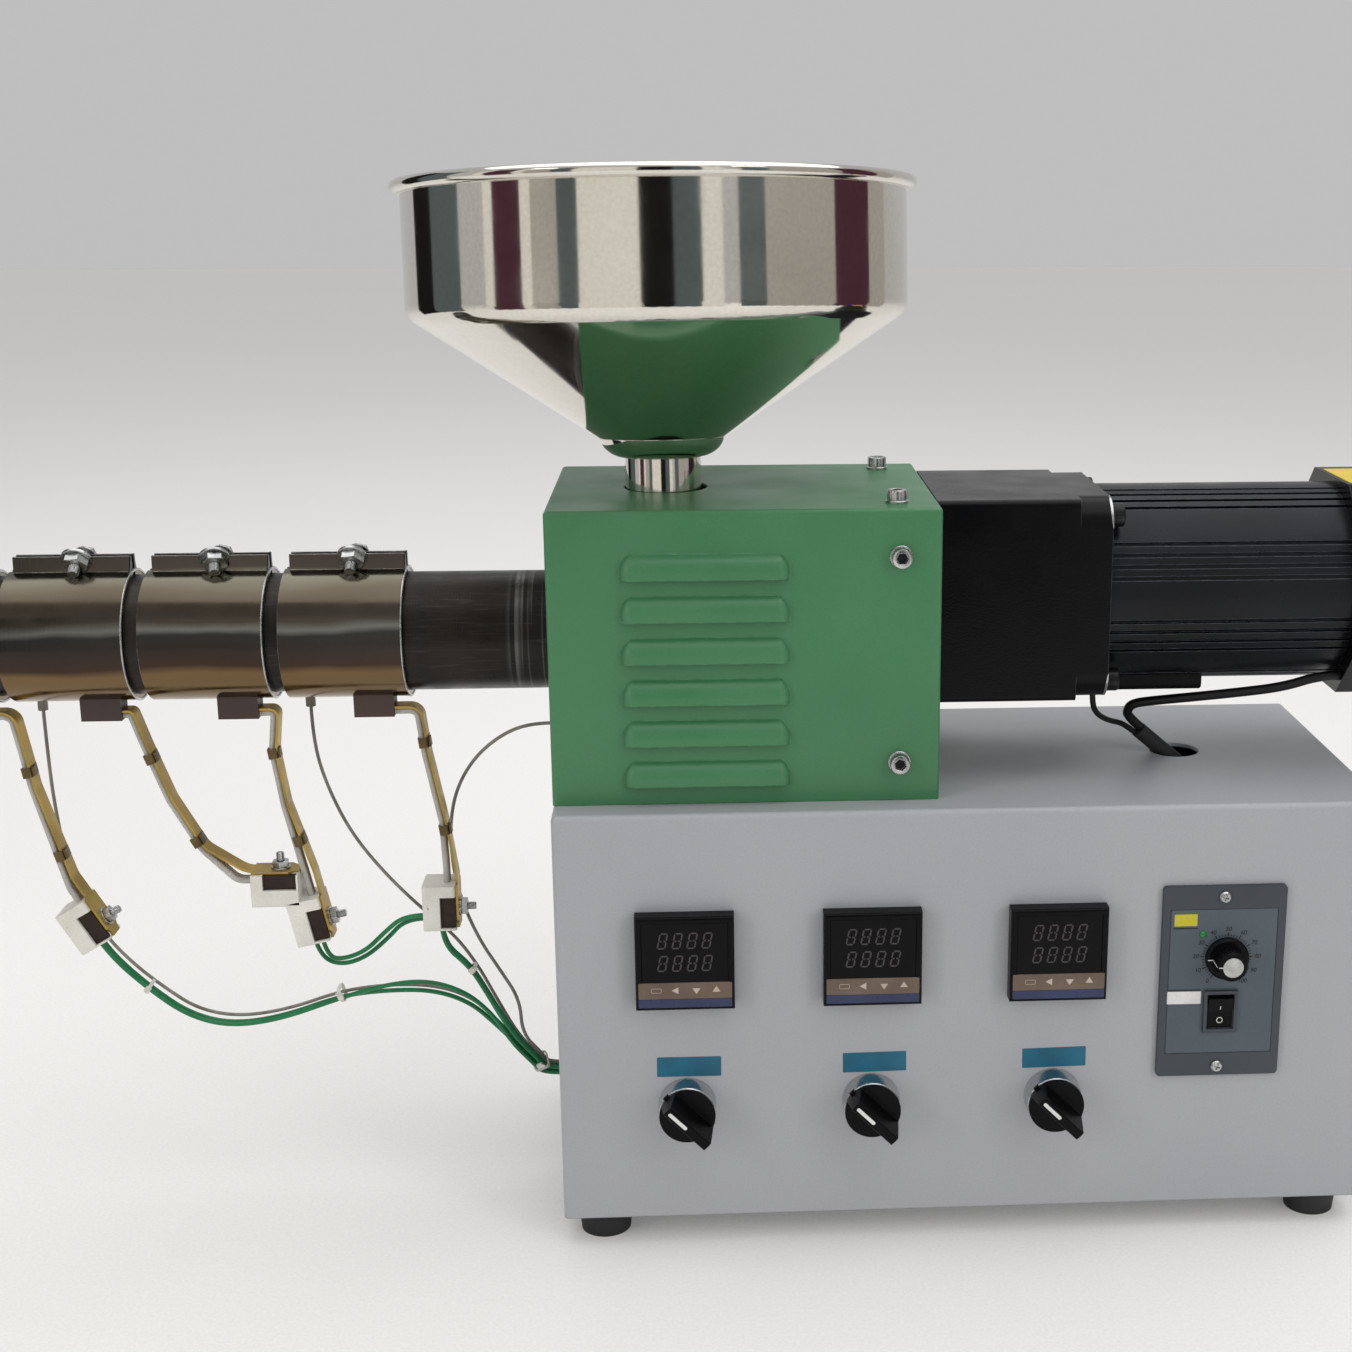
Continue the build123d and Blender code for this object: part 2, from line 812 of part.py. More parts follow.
def temperature_controller(x):
    half = controller_size / 2
    body = controller_body / 2
    window = half - 3.0
    bezel = span_box(x - half, x + half, -controller_proud, 0, controller_z - half, controller_z + half)
    bezel = fillet(bezel.faces().sort_by(Axis.Y)[0].edges(), 1.5)
    bezel -= span_box(
        x - window,
        x + window,
        -controller_proud - 1,
        -controller_proud + controller_recess,
        controller_z - window,
        controller_z + window,
    )
    case = span_box(x - body, x + body, 0, controller_depth, controller_z - body, controller_z + body)
    return bezel + case


def selector_bezel(x):
    ring = Cone(
        selector_bezel_diameter / 2,
        selector_bezel_tip_diameter / 2,
        selector_bezel_depth,
        align=(Align.CENTER, Align.CENTER, Align.MIN),
    )
    ring = chamfer(ring.edges().sort_by(Axis.Z)[-1], 0.6)
    ring = Pos(x, 0, selector_z) * Rot(90, 0, 0) * ring
    shank = y_rod(selector_shank_diameter, 0, selector_shank_length, x, selector_z)
    nut = y_rod(selector_nut_diameter, cabinet_sheet, cabinet_sheet + selector_nut_depth, x, selector_z)
    pivot_hole = y_rod(
        selector_pivot_diameter + 2 * running_clearance,
        -selector_bezel_depth - 1,
        selector_pivot_end + 0.5,
        x,
        selector_z,
    )
    return ring + shank + nut - pivot_hole


def selector_knob(x):
    """A disc with a tapered grip across it, whose pointing end has a small tab on the disc's rim."""
    back = -selector_bezel_depth - selector_knob_gap
    face = back - selector_knob_base
    radius = selector_knob_diameter / 2
    disc = y_rod(selector_knob_diameter, face, back, 0, 0)
    half_tab = selector_tab_width / 2
    tab = span_box(-radius - selector_tab_reach, 0, face, back, -half_tab, half_tab)
    sections = []
    for depth, width in ((0, selector_ridge_width), (selector_ridge_depth, selector_ridge_tip_width)):
        plane = Plane(origin=(0, face - depth, 0), x_dir=(1, 0, 0), z_dir=(0, -1, 0))
        sections.append(plane * Rectangle(selector_knob_diameter, width))
    grip = loft(sections) & y_rod(selector_knob_diameter, face - selector_ridge_depth, face, 0, 0)
    grip = fillet(grip.faces().sort_by(Axis.Y)[0].edges(), 0.8)
    pivot = y_rod(selector_pivot_diameter, back, selector_pivot_end, 0, 0)
    return Pos(x, 0, selector_z) * Rot(0, selector_rest_angle, 0) * (disc + tab + grip + pivot)


# Loose wiring: heater wires in pairs, thermocouple leads and the motor's cables


def block_port(number, across, aside):
    """A point on the lower end of a terminal block, and one further out along its axis."""
    place = block_place(number)
    end = place * Pos(across, aside, -block_length / 2)
    further = place * Pos(across, aside, -block_length / 2 - port_run)
    return [tuple(end.position), tuple(further.position)]


def level(y, points):
    """Points of one depth, set out by their drops below the barrel's axis."""
    return [(x, y, barrel_z - drop) for x, drop in points]


def below(points):
    """Points with their own depths, set out by their drops below the barrel's axis."""
    return [(x, y, barrel_z - drop) for x, y, drop in points]


def harness_end(aside, layer):
    """The last points of a strand of the harness, down to the grommet's face."""
    side = layer_step * layer
    rise = layer_rise * layer
    return [
        (-30 + side, hang_y + aside, 60 + side),
        (-20 + side, hang_y + 5 + aside, 46 + side),
        (-gland_proud - 12 + side / 2, gland_y - 1 + aside, gland_z - 2 + rise),
        (-gland_proud, gland_y - 1 + aside, gland_z - 2 + rise),
    ]


def sleeve_line():
    """The direction of the motor's cable sleeve and the direction across it, up and to the right."""
    along = Vector(24, 5, -21).normalized()
    across = Vector(-along.Z, 0, along.X).normalized()
    return along, across


def motor_supply_cable():
    along, across = sleeve_line()
    end = Vector(*sleeve_joint_top) + across * 1.6
    start_x = guard_length + gearbox_length + flange_length + motor_length
    points = [(start_x, supply_exit_y, supply_exit_z), (386, supply_exit_y, supply_exit_z)]
    points += [(369, 60.5, 254.5), (345, 67, 250), (322, 74, 246), (306.3, 80, 243), (297, 83, 241)]
    return points + [(294.4, 85.4, 237.3), tuple(end - along * 10), tuple(end)]


def motor_signal_cable():
    along, across = sleeve_line()
    end = Vector(*sleeve_joint_top) - across * 2.5
    start_z = gearbox_z - gearbox_size / 2
    points = [(signal_exit_x, signal_exit_y, start_z), (signal_exit_x, signal_exit_y, start_z - 8)]
    return points + [(275, 68, 239.5), (283, 77, 233.5), tuple(end - along * 9), tuple(end)]


def cable_sleeve():
    along, _ = sleeve_line()
    sleeve = Cylinder(
        sleeve_joint_diameter / 2,
        sleeve_joint_length,
        align=(Align.CENTER, Align.CENTER, Align.MIN),
    )
    return Plane(origin=sleeve_joint_top, z_dir=along) * sleeve


def heater_wire_routes():
    """Two wires from each wired block: to the harness, or from the third block on to the fourth."""
    trunk = [(-216, 188.5), (-198, 203), (-177, 209.5), (-150, 206), (-119, 195)]
    upper = [(-97, 188.5), (-74, 186), (-54, 193), (-40, 206.5)]
    lower = [(-95, 192.5), (-71, 193), (-52, 200.5), (-39, 213.5)]
    drop = [(-51, 179), (-43, 193.5), (-36, 207.5)]
    (block_end, _), _, _ = end_frame(4)
    block_face = block_end - strap_thickness / 2 - block_thickness
    over = [(-116, 173), (-104, 168.5), (-94, 158.5), (-83.5, 149.5), (block_face, 149.5)]
    under = [(-119, 178), (-106, 174.5), (-94, 164.5), (-83.5, 153), (block_face, 153)]
    near = -pair_spacing / 2
    far = pair_spacing / 2
    return {
        "heater_wire_1a": block_port(1, 0, near) + level(hang_y + near, trunk + upper) + harness_end(near, 0),
        "heater_wire_1b": block_port(1, 0, far) + level(hang_y + far, trunk + lower) + harness_end(far, 0),
        "heater_wire_3a": block_port(3, 3, near - pair_slack) + level(hang_y + near - pair_slack, over),
        "heater_wire_3b": block_port(3, -2, far + pair_slack) + level(hang_y + far + pair_slack, under),
        "heater_wire_4a": block_port(4, 0, near) + level(hang_y + near, drop) + harness_end(near, 1),
        "heater_wire_4b": block_port(4, 0, far) + level(hang_y + far, drop) + harness_end(far, 1),
    }


def thermocouple_routes():
    """The two probe leads and the one from the guard, which all join the harness."""
    beside = pair_spacing / 2 + (wire_diameter + thermocouple_diameter) / 2 + pair_slack
    loom_y = hang_y + beside
    first = [(probe_x(2), probe_y, probe_end())]
    first += below([(probe_x(2), probe_y, 65.5), (-262, 97, 91.5), (-259, 96, 117.5), (-252, 95, 142.5)])
    first += below([(-241, 93, 163.5), (-226, 89, 178.5), (-210, loom_y + 1, 190.5)])
    first += level(loom_y, [(-194, 198), (-173, 202), (-147, 199), (-119, 192.5), (-95, 190.5)])
    first += level(loom_y, [(-70, 191.5), (-51, 199), (-38, 212.5)])
    second = [(probe_x(4), probe_y, probe_end())]
    second += below([(probe_x(4), probe_y, 61.5), (-122, 97, 85.5), (-111, 96, 110.5), (-94, 95, 133.5)])
    second += below([(-76, 94, 152.5), (-60, 92.5, 166.5), (-48, 89, 182.5), (-38, 86, 201.5)])
    third = [(-grommet_proud, grommet_y, grommet_z), (-14, grommet_y, grommet_z)]
    third += below([(-29, 75, 51.5), (-44, 83, 65.5), (-55, 91, 84.5), (-60, 96, 105.5), (-60, 97, 127.5)])
    third += below([(-56, 96, 148.5), (-47, 92, 169.5), (-36, 87.5, 185.5), (-26, 83, 200.5)])
    return {
        "thermocouple_lead_1": first + harness_end(beside, 0),
        "thermocouple_lead_2": second + harness_end(beside, 1),
        "thermocouple_lead_3": third + harness_end(0, 2),
    }


def speed_controller():
    half_width = speed_width / 2
    half_height = speed_height / 2
    plate = span_box(
        speed_x - half_width,
        speed_x + half_width,
        -speed_proud,
        0,
        speed_z - half_height,
        speed_z + half_height,
    )
    plate = fillet(plate.edges().filter_by(Axis.Y), 2.0)
    plate -= span_box(
        speed_x - half_width + speed_face_inset,
        speed_x + half_width - speed_face_inset,
        -speed_proud - 1,
        -speed_proud + speed_face_recess,
        speed_z - half_height + 3 * speed_face_inset,
        speed_z + half_height - 3 * speed_face_inset,
    )
    case = span_box(
        speed_x - speed_body_width / 2,
        speed_x + speed_body_width / 2,
        0,
        speed_body_depth,
        speed_z - speed_body_height / 2,
        speed_z + speed_body_height / 2,
    )
    frame = span_box(
        speed_x - rocker_frame_width / 2,
        speed_x + rocker_frame_width / 2,
        -speed_proud - rocker_frame_proud,
        0,
        rocker_z - rocker_frame_height / 2,
        rocker_z + rocker_frame_height / 2,
    )
    body = plate + case + frame
    body -= span_box(
        speed_x - rocker_width / 2 - rocker_gap,
        speed_x + rocker_width / 2 + rocker_gap,
        -speed_proud - rocker_frame_proud - 1,
        rocker_pocket_depth,
        rocker_z - rocker_height / 2 - rocker_gap,
        rocker_z + rocker_height / 2 + rocker_gap,
    )
    pin_reach = rocker_width / 2 + rocker_gap + rocker_pin_length
    body -= x_rod(
        rocker_pin_diameter + 2 * running_clearance,
        speed_x - pin_reach,
        speed_x + pin_reach,
        0,
        rocker_z,
    )
    body -= y_rod(
        speed_pivot_diameter + 2 * running_clearance,
        -speed_proud - 1,
        speed_pivot_length,
        knob_x,
        knob_z,
    )
    return body


def speed_knob():
    back = -speed_proud + speed_face_recess - speed_knob_gap
    skirt = y_rod(speed_skirt_diameter, back - speed_skirt_height, back, knob_x, knob_z)
    skirt = chamfer(skirt.edges().sort_by(Axis.Y)[0], 1.0)
    top = y_rod(speed_knob_diameter, back - speed_knob_height, back - speed_skirt_height, knob_x, knob_z)
    top = chamfer(top.edges().sort_by(Axis.Y)[0], 0.8)
    pivot = y_rod(speed_pivot_diameter, back, speed_pivot_length - 1, knob_x, knob_z)
    return skirt + top + pivot


def speed_rocker():
    """A rocker whose two faces meet in a shallow valley, pressed at its foot when at rest."""
    half = rocker_height / 2
    front = speed_proud + rocker_frame_proud
    side = [(-front - 0.1, half * 0.95), (0, half), (front, half * 0.87), (2 * front, half * 0.34)]
    profile = [(1.1 - front, 0)] + side + [(y, -z) for y, z in reversed(side)]
    section = Plane(origin=(speed_x - rocker_width / 2, 0, 0), x_dir=(0, 1, 0), z_dir=(1, 0, 0))
    rocker = extrude(section * Polygon(*profile, align=None), rocker_width, dir=(1, 0, 0))
    pin_reach = rocker_width / 2 + rocker_gap + rocker_pin_length - 0.2
    rocker += x_rod(rocker_pin_diameter, speed_x - pin_reach, speed_x + pin_reach, 0, 0)
    return Pos(0, 0, rocker_z) * Rot(rocker_tilt, 0, 0) * rocker


parts = {
    "cabinet_body": [cabinet_body()],
    "cabinet_base": [cabinet_base()],
    "cabinet_back_panel": [cabinet_back_panel()],
    "cabinet_feet": cabinet_feet(),
    "wiring_grommets": [wiring_gland(), guard_grommet()],
    "guard_cover": [guard_cover()],
    "hopper_bowl": [hopper_bowl()],
    "hopper_neck": [hopper_neck()],
    "feed_block": [feed_block()],
    "bearing_housing": [bearing_housing()],
    "extruder_screw": [extruder_screw()],
    "barrel": [barrel()],
    "die_head": [die_head()],
    "die_nozzle": [die_nozzle()],
    "thermocouple_probes": thermocouple_probes(),
    "lead_caps": lead_caps(),
    "terminal_blocks": [terminal_block(number) for number in range(1, band_count + 1)],
    "gearbox": [gearbox()],
    "motor_body": [motor_body()],
    "motor_end_cowl": [motor_end_cowl()],
    "selector_bezels": [selector_bezel(x) for x in controller_xs],
    "speed_controller": [speed_controller()],
    "speed_knob": [speed_knob()],
    "speed_rocker": [speed_rocker()],
}
for number in range(1, band_count + 1):
    parts[f"heater_band_{number}"] = [heater_band(number)]
    parts[f"lead_strap_{number}"] = [lead_strap(number)]
    parts[f"sleeved_leads_{number}"] = sleeved_leads(number)
for number, x in enumerate(controller_xs, start=1):
    parts[f"temperature_controller_{number}"] = [temperature_controller(x)]
    parts[f"selector_knob_{number}"] = [selector_knob(x)]

cord_kinds = (
    (wire_diameter, heater_wire_routes()),
    (thermocouple_diameter, thermocouple_routes()),
    (supply_cable_diameter, {"motor_supply_cable": motor_supply_cable()}),
    (signal_cable_diameter, {"motor_signal_cable": motor_signal_cable()}),
)
cords = {}
for diameter, routes in cord_kinds:
    for name, points in routes.items():
        cords[name] = [tube(points, diameter)]
        length = route(points).length
        drawn = cords[name][0].volume / (math.pi * diameter**2 / 4)
        radii = [round(radius, 1) for radius in corner_radii(points)]
        print(f"{name} length {length:.1f}, from its volume {drawn:.1f}, radii {radii}")
cords["cable_sleeve"] = [cable_sleeve()]

boxes = [solid.bounding_box() for solids in parts.values() for solid in solids]
left = min(box.min.X for box in boxes)
right = max(box.max.X for box in boxes)
front = min(box.min.Y for box in boxes)
back = max(box.max.Y for box in boxes)
origin = Vector((left + right) / 2, (front + back) / 2, min(box.min.Z for box in boxes))

os.makedirs("parts", exist_ok=True)
for name, solids in {**parts, **cords}.items():
    placed = [Pos(-origin.X, -origin.Y, -origin.Z) * solid for solid in solids]
    shape = placed[0] if len(placed) == 1 else Compound(placed)
    export_step(shape, f"parts/{name}.step")
print("origin from the cabinet corner", origin)
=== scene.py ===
"""Looks of a benchtop single-screw plastic extruder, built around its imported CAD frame."""
import json
import math

import bmesh
import bpy
from mathutils import Matrix, Vector


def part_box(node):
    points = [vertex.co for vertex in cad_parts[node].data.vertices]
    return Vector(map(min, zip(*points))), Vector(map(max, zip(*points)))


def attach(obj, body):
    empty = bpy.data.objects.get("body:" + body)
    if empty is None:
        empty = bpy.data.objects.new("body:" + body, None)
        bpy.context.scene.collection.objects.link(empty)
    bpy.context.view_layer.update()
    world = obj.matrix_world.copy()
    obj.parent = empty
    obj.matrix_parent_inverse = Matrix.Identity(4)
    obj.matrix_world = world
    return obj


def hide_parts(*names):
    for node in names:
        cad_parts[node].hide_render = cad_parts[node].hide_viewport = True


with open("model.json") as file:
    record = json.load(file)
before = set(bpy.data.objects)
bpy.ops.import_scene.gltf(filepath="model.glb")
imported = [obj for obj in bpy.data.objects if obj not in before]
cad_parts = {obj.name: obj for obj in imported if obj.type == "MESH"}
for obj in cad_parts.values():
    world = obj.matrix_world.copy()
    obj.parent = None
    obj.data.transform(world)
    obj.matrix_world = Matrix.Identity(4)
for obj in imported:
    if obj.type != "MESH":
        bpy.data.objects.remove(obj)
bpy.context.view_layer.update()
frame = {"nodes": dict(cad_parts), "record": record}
nodes = frame["nodes"]

# Sizes below are in millimetres from the cabinet's lower front left corner.
MM = 0.001
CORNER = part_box("cabinet_body")[0]
MACHINE = "machine"
DRIVE_Y = 89.0
BARREL_Z = 283.5
BAND_OUTER = 33.1
GEARBOX_Z = 305.0
# Right of this the barrel's oxide is turned away in grey rings.
BARED_FROM = -24.0
FRONT = (0, -1, 0)
UP = (0, 0, 1)
GRAIN_DEPTH = 0.4 * MM

# The photograph's camera: picture width and focal length in pixels, shift, place, and yaw, pitch and roll.
PHOTO_WIDTH = 1352
CAMERA_FOCAL = 2012.23
CAMERA_SHIFT = -0.1102
CAMERA_SPOT = (74.684, -915.814, 517.049)
CAMERA_TURN = (0.0614, 0.2533, 0.0006)


def at(x, y, z):
    return CORNER + Vector((x, y, z)) * MM


def add_object(name, data):
    made = bpy.data.objects.new(name, data)
    bpy.context.scene.collection.objects.link(made)
    return made


def srgb(red, green, blue):
    """A colour given in 0 to 255 as the linear colour that a shader wants."""
    def linear(value):
        share = value / 255
        return share / 12.92 if share <= 0.04045 else ((share + 0.055) / 1.055) ** 2.4
    return (linear(red), linear(green), linear(blue), 1.0)


# Materials

def add_node(tree, kind, inputs=None, **settings):
    made = tree.nodes.new(kind)
    for key, value in settings.items():
        setattr(made, key, value)
    for key, value in (inputs or {}).items():
        if isinstance(value, bpy.types.NodeSocket):
            tree.links.new(value, made.inputs[key])
        else:
            made.inputs[key].default_value = value
    return made


def ramp(tree, factor, stops):
    made = add_node(tree, "ShaderNodeValToRGB", {"Fac": factor})
    elements = made.color_ramp.elements
    while len(elements) < len(stops):
        elements.new(0.5)
    for element, (place, colour) in zip(elements, stops):
        element.position = place
        element.color = srgb(*colour)
    return made.outputs["Color"]


def remap(tree, value, low, high, start=0.3, end=0.7):
    inputs = {"Value": value, "From Min": start, "From Max": end, "To Min": low, "To Max": high}
    return add_node(tree, "ShaderNodeMapRange", inputs).outputs["Result"]


def noise(tree, place, scale, detail=3.0, stretch=(1, 1, 1)):
    mapped = add_node(tree, "ShaderNodeMapping", {"Vector": place, "Scale": stretch})
    inputs = {"Vector": mapped.outputs["Vector"], "Scale": scale, "Detail": detail}
    return add_node(tree, "ShaderNodeTexNoise", inputs).outputs["Fac"]


def wave(tree, place, axis="X", **marks):
    inputs = {"Vector": place, **marks}
    return add_node(tree, "ShaderNodeTexWave", inputs, bands_direction=axis).outputs["Fac"]


def maths(tree, operation, *values):
    return add_node(tree, "ShaderNodeMath", dict(enumerate(values)), operation=operation).outputs["Value"]


def blend_colours(tree, factor, first, second, mode="MIX"):
    made = add_node(tree, "ShaderNodeMix", data_type="RGBA", blend_type=mode)
    sockets = (made.inputs["Factor"], made.inputs[6], made.inputs[7])
    for socket, value in zip(sockets, (factor, first, second)):
        if isinstance(value, bpy.types.NodeSocket):
            tree.links.new(value, socket)
        else:
            socket.default_value = value
    return made.outputs[2]


def surface(name, light, dark, rough=(0.35, 0.5), metal=0.0, blotch=14.0, grain=700.0, bump=0.15, edge=0.5,
            worn=None, wear=0.25, coat=0.0, gloss=0.5, spots=None, pattern=None):
    """A material of two noise-mixed tones in 0 to 255, with grain, rounded edges and worn edges."""
    material = bpy.data.materials.new(name)
    material.use_nodes = True
    tree = material.node_tree
    shader = tree.nodes["Principled BSDF"]
    shader.inputs["Metallic"].default_value = metal
    shader.inputs["Coat Weight"].default_value = coat
    shader.inputs["Specular IOR Level"].default_value = gloss
    shader.inputs["Coat Roughness"].default_value = 0.12
    place = add_node(tree, "ShaderNodeTexCoord").outputs["Object"]
    broad = noise(tree, place, blotch, 5.0)
    fine = noise(tree, place, grain, 2.0)
    mixed = ramp(tree, broad, ((0.3, dark), (0.72, light)))
    speck = remap(tree, fine, 0.94, 1.04, 0.25, 0.75)
    speckle = add_node(tree, "ShaderNodeCombineColor", {"Red": speck, "Green": speck, "Blue": speck})
    colour = blend_colours(tree, 1.0, mixed, speckle.outputs["Color"], "MULTIPLY")
    height = fine
    if pattern:
        colour, height = pattern(tree, place, colour, height)
    if spots:
        spot_scale, spot_level, spot_colour = spots
        mask = remap(tree, noise(tree, place, spot_scale, 6.0), 0.0, 1.0, spot_level, spot_level + 0.04)
        colour = blend_colours(tree, mask, colour, srgb(*spot_colour))
    roughness = remap(tree, noise(tree, place, blotch * 4, 4.0), rough[0], rough[1])
    rounded = add_node(tree, "ShaderNodeBevel", {"Radius": edge * MM}, samples=4)
    bumped = add_node(tree, "ShaderNodeBump", {"Strength": bump, "Distance": GRAIN_DEPTH,
                                               "Height": height, "Normal": rounded.outputs["Normal"]})
    if worn:
        true_normal = add_node(tree, "ShaderNodeNewGeometry").outputs["True Normal"]
        dot = add_node(tree, "ShaderNodeVectorMath", {0: rounded.outputs["Normal"], 1: true_normal},
                       operation="DOT_PRODUCT").outputs["Value"]
        bent = remap(tree, dot, 1.0, 0.0, 0.86, 0.985)
        patchy = remap(tree, noise(tree, place, 160.0, 4.0), 0.0, 1.0, 0.5 - wear, 0.75)
        colour = blend_colours(tree, maths(tree, "MULTIPLY", bent, patchy), colour, srgb(*worn))
    tree.links.new(colour, shader.inputs["Base Color"])
    tree.links.new(roughness, shader.inputs["Roughness"])
    tree.links.new(bumped.outputs["Normal"], shader.inputs["Normal"])
    return material


def turned_rings(tree, place, colour, height):
    """Fine lathe marks round the X axis, with browner and blacker bands of oxide."""
    lines = wave(tree, place, Scale=420.0, Distortion=0.6, Detail=2.0)
    bands = noise(tree, place, 38.0, 3.0, (1, 0.05, 0.05))
    tinted = blend_colours(tree, remap(tree, bands, 0.0, 0.35), colour, srgb(60, 50, 42))
    scratches = noise(tree, place, 900.0, 2.0, (0.06, 1, 1))
    tinted = blend_colours(tree, remap(tree, scratches, 0.0, 0.35, 0.55, 0.8), tinted, srgb(84, 82, 80))
    along = add_node(tree, "ShaderNodeSeparateXYZ", {"Vector": place}).outputs["X"]
    bared = remap(tree, along, 0.0, 1.0, at(BARED_FROM, 0, 0).x, at(BARED_FROM + 6, 0, 0).x)
    coarse = remap(tree, noise(tree, place, 420.0, 2.0, (1, 0.01, 0.01)), 0.0, 0.6, 0.5, 0.66)
    return blend_colours(tree, maths(tree, "MULTIPLY", bared, coarse), tinted, srgb(120, 120, 116)), lines


def heated_sheet(tree, place, colour, height):
    """Brush lines round the X axis, and painted reflections and a painted highlight in soft lengthwise
    zones by height, with some brown heat tint.
    """
    rise = add_node(tree, "ShaderNodeSeparateXYZ", {"Vector": place}).outputs["Z"]
    drift = remap(tree, noise(tree, place, 22.0, 3.0, (0.5, 1, 1)), -2.5 * MM, 2.5 * MM)
    axis = at(0, 0, BARREL_Z).z
    top = axis + (BAND_OUTER + 7.9) * MM
    zone = remap(tree, maths(tree, "ADD", rise, drift), 0.0, 1.0, axis - BAND_OUTER * MM, top)
    # Painted reflections and highlight by height, with some brown heat tint: tan low down, a bright line
    # just above the middle, light near the top.
    reflection_zones = ramp(tree, zone, ((0.0, (116, 95, 62)), (0.27, (112, 87, 54)), (0.32, (50, 31, 20)),
                              (0.43, (36, 26, 22)), (0.53, (38, 38, 40)), (0.57, (112, 112, 110)),
                              (0.62, (68, 61, 53)), (0.72, (68, 58, 45)), (0.80, (84, 75, 60)),
                              (0.885, (108, 106, 91)), (0.91, (70, 62, 57)), (1.0, (64, 56, 52))))
    reflected_tint = blend_colours(tree, 0.94, colour, reflection_zones)
    return reflected_tint, noise(tree, place, 1500.0, 2.0, (1, 0.03, 0.03))


def long_lines(tree, place, colour, height):
    """The fine drawn lines along X of an extrusion."""
    return colour, noise(tree, place, 1400.0, 2.0, (0.02, 1, 1))


def waved_sheet(tree, place, colour, height):
    """Slow waves of polished spun sheet, and faint rings of its spinning."""
    slow = noise(tree, place, 9.0, 2.0, (1, 1, 0.25))
    spun = wave(tree, place, "Z", Scale=210.0, Distortion=0.4)
    return colour, maths(tree, "MULTIPLY_ADD", spun, 0.02, slow)


def woven(scale):
    """Crossed threads of a braid, drawn on a sleeve or lead."""
    def draw(tree, place, colour, height):
        threads = []
        for turn in (0.9, -0.9):
            inputs = {"Vector": place, "Rotation": (turn, turn * 0.6, turn)}
            mapped = add_node(tree, "ShaderNodeMapping", inputs).outputs["Vector"]
            threads.append(wave(tree, mapped, Scale=scale, Distortion=1.2, Detail=1.0))
        crossed = maths(tree, "MAXIMUM", *threads)
        shade = remap(tree, crossed, 0.55, 1.05, 0.4, 0.95)
        shaded = add_node(tree, "ShaderNodeCombineColor", {"Red": shade, "Green": shade, "Blue": shade})
        return blend_colours(tree, 1.0, colour, shaded.outputs["Color"], "MULTIPLY"), crossed
    return draw


def zinc_tints(tree, place, colour, height):
    """Yellow passivation that drifts towards green and rose."""
    drift = noise(tree, place, 45.0, 4.0)
    tinted = blend_colours(tree, remap(tree, drift, 0.0, 0.35, 0.5, 0.7), colour, srgb(168, 162, 80))
    rose = noise(tree, place, 60.0, 3.0, (1, 1.3, 0.8))
    rosy = remap(tree, rose, 0.0, 0.4, 0.58, 0.75)
    return blend_colours(tree, rosy, tinted, srgb(196, 150, 110)), height


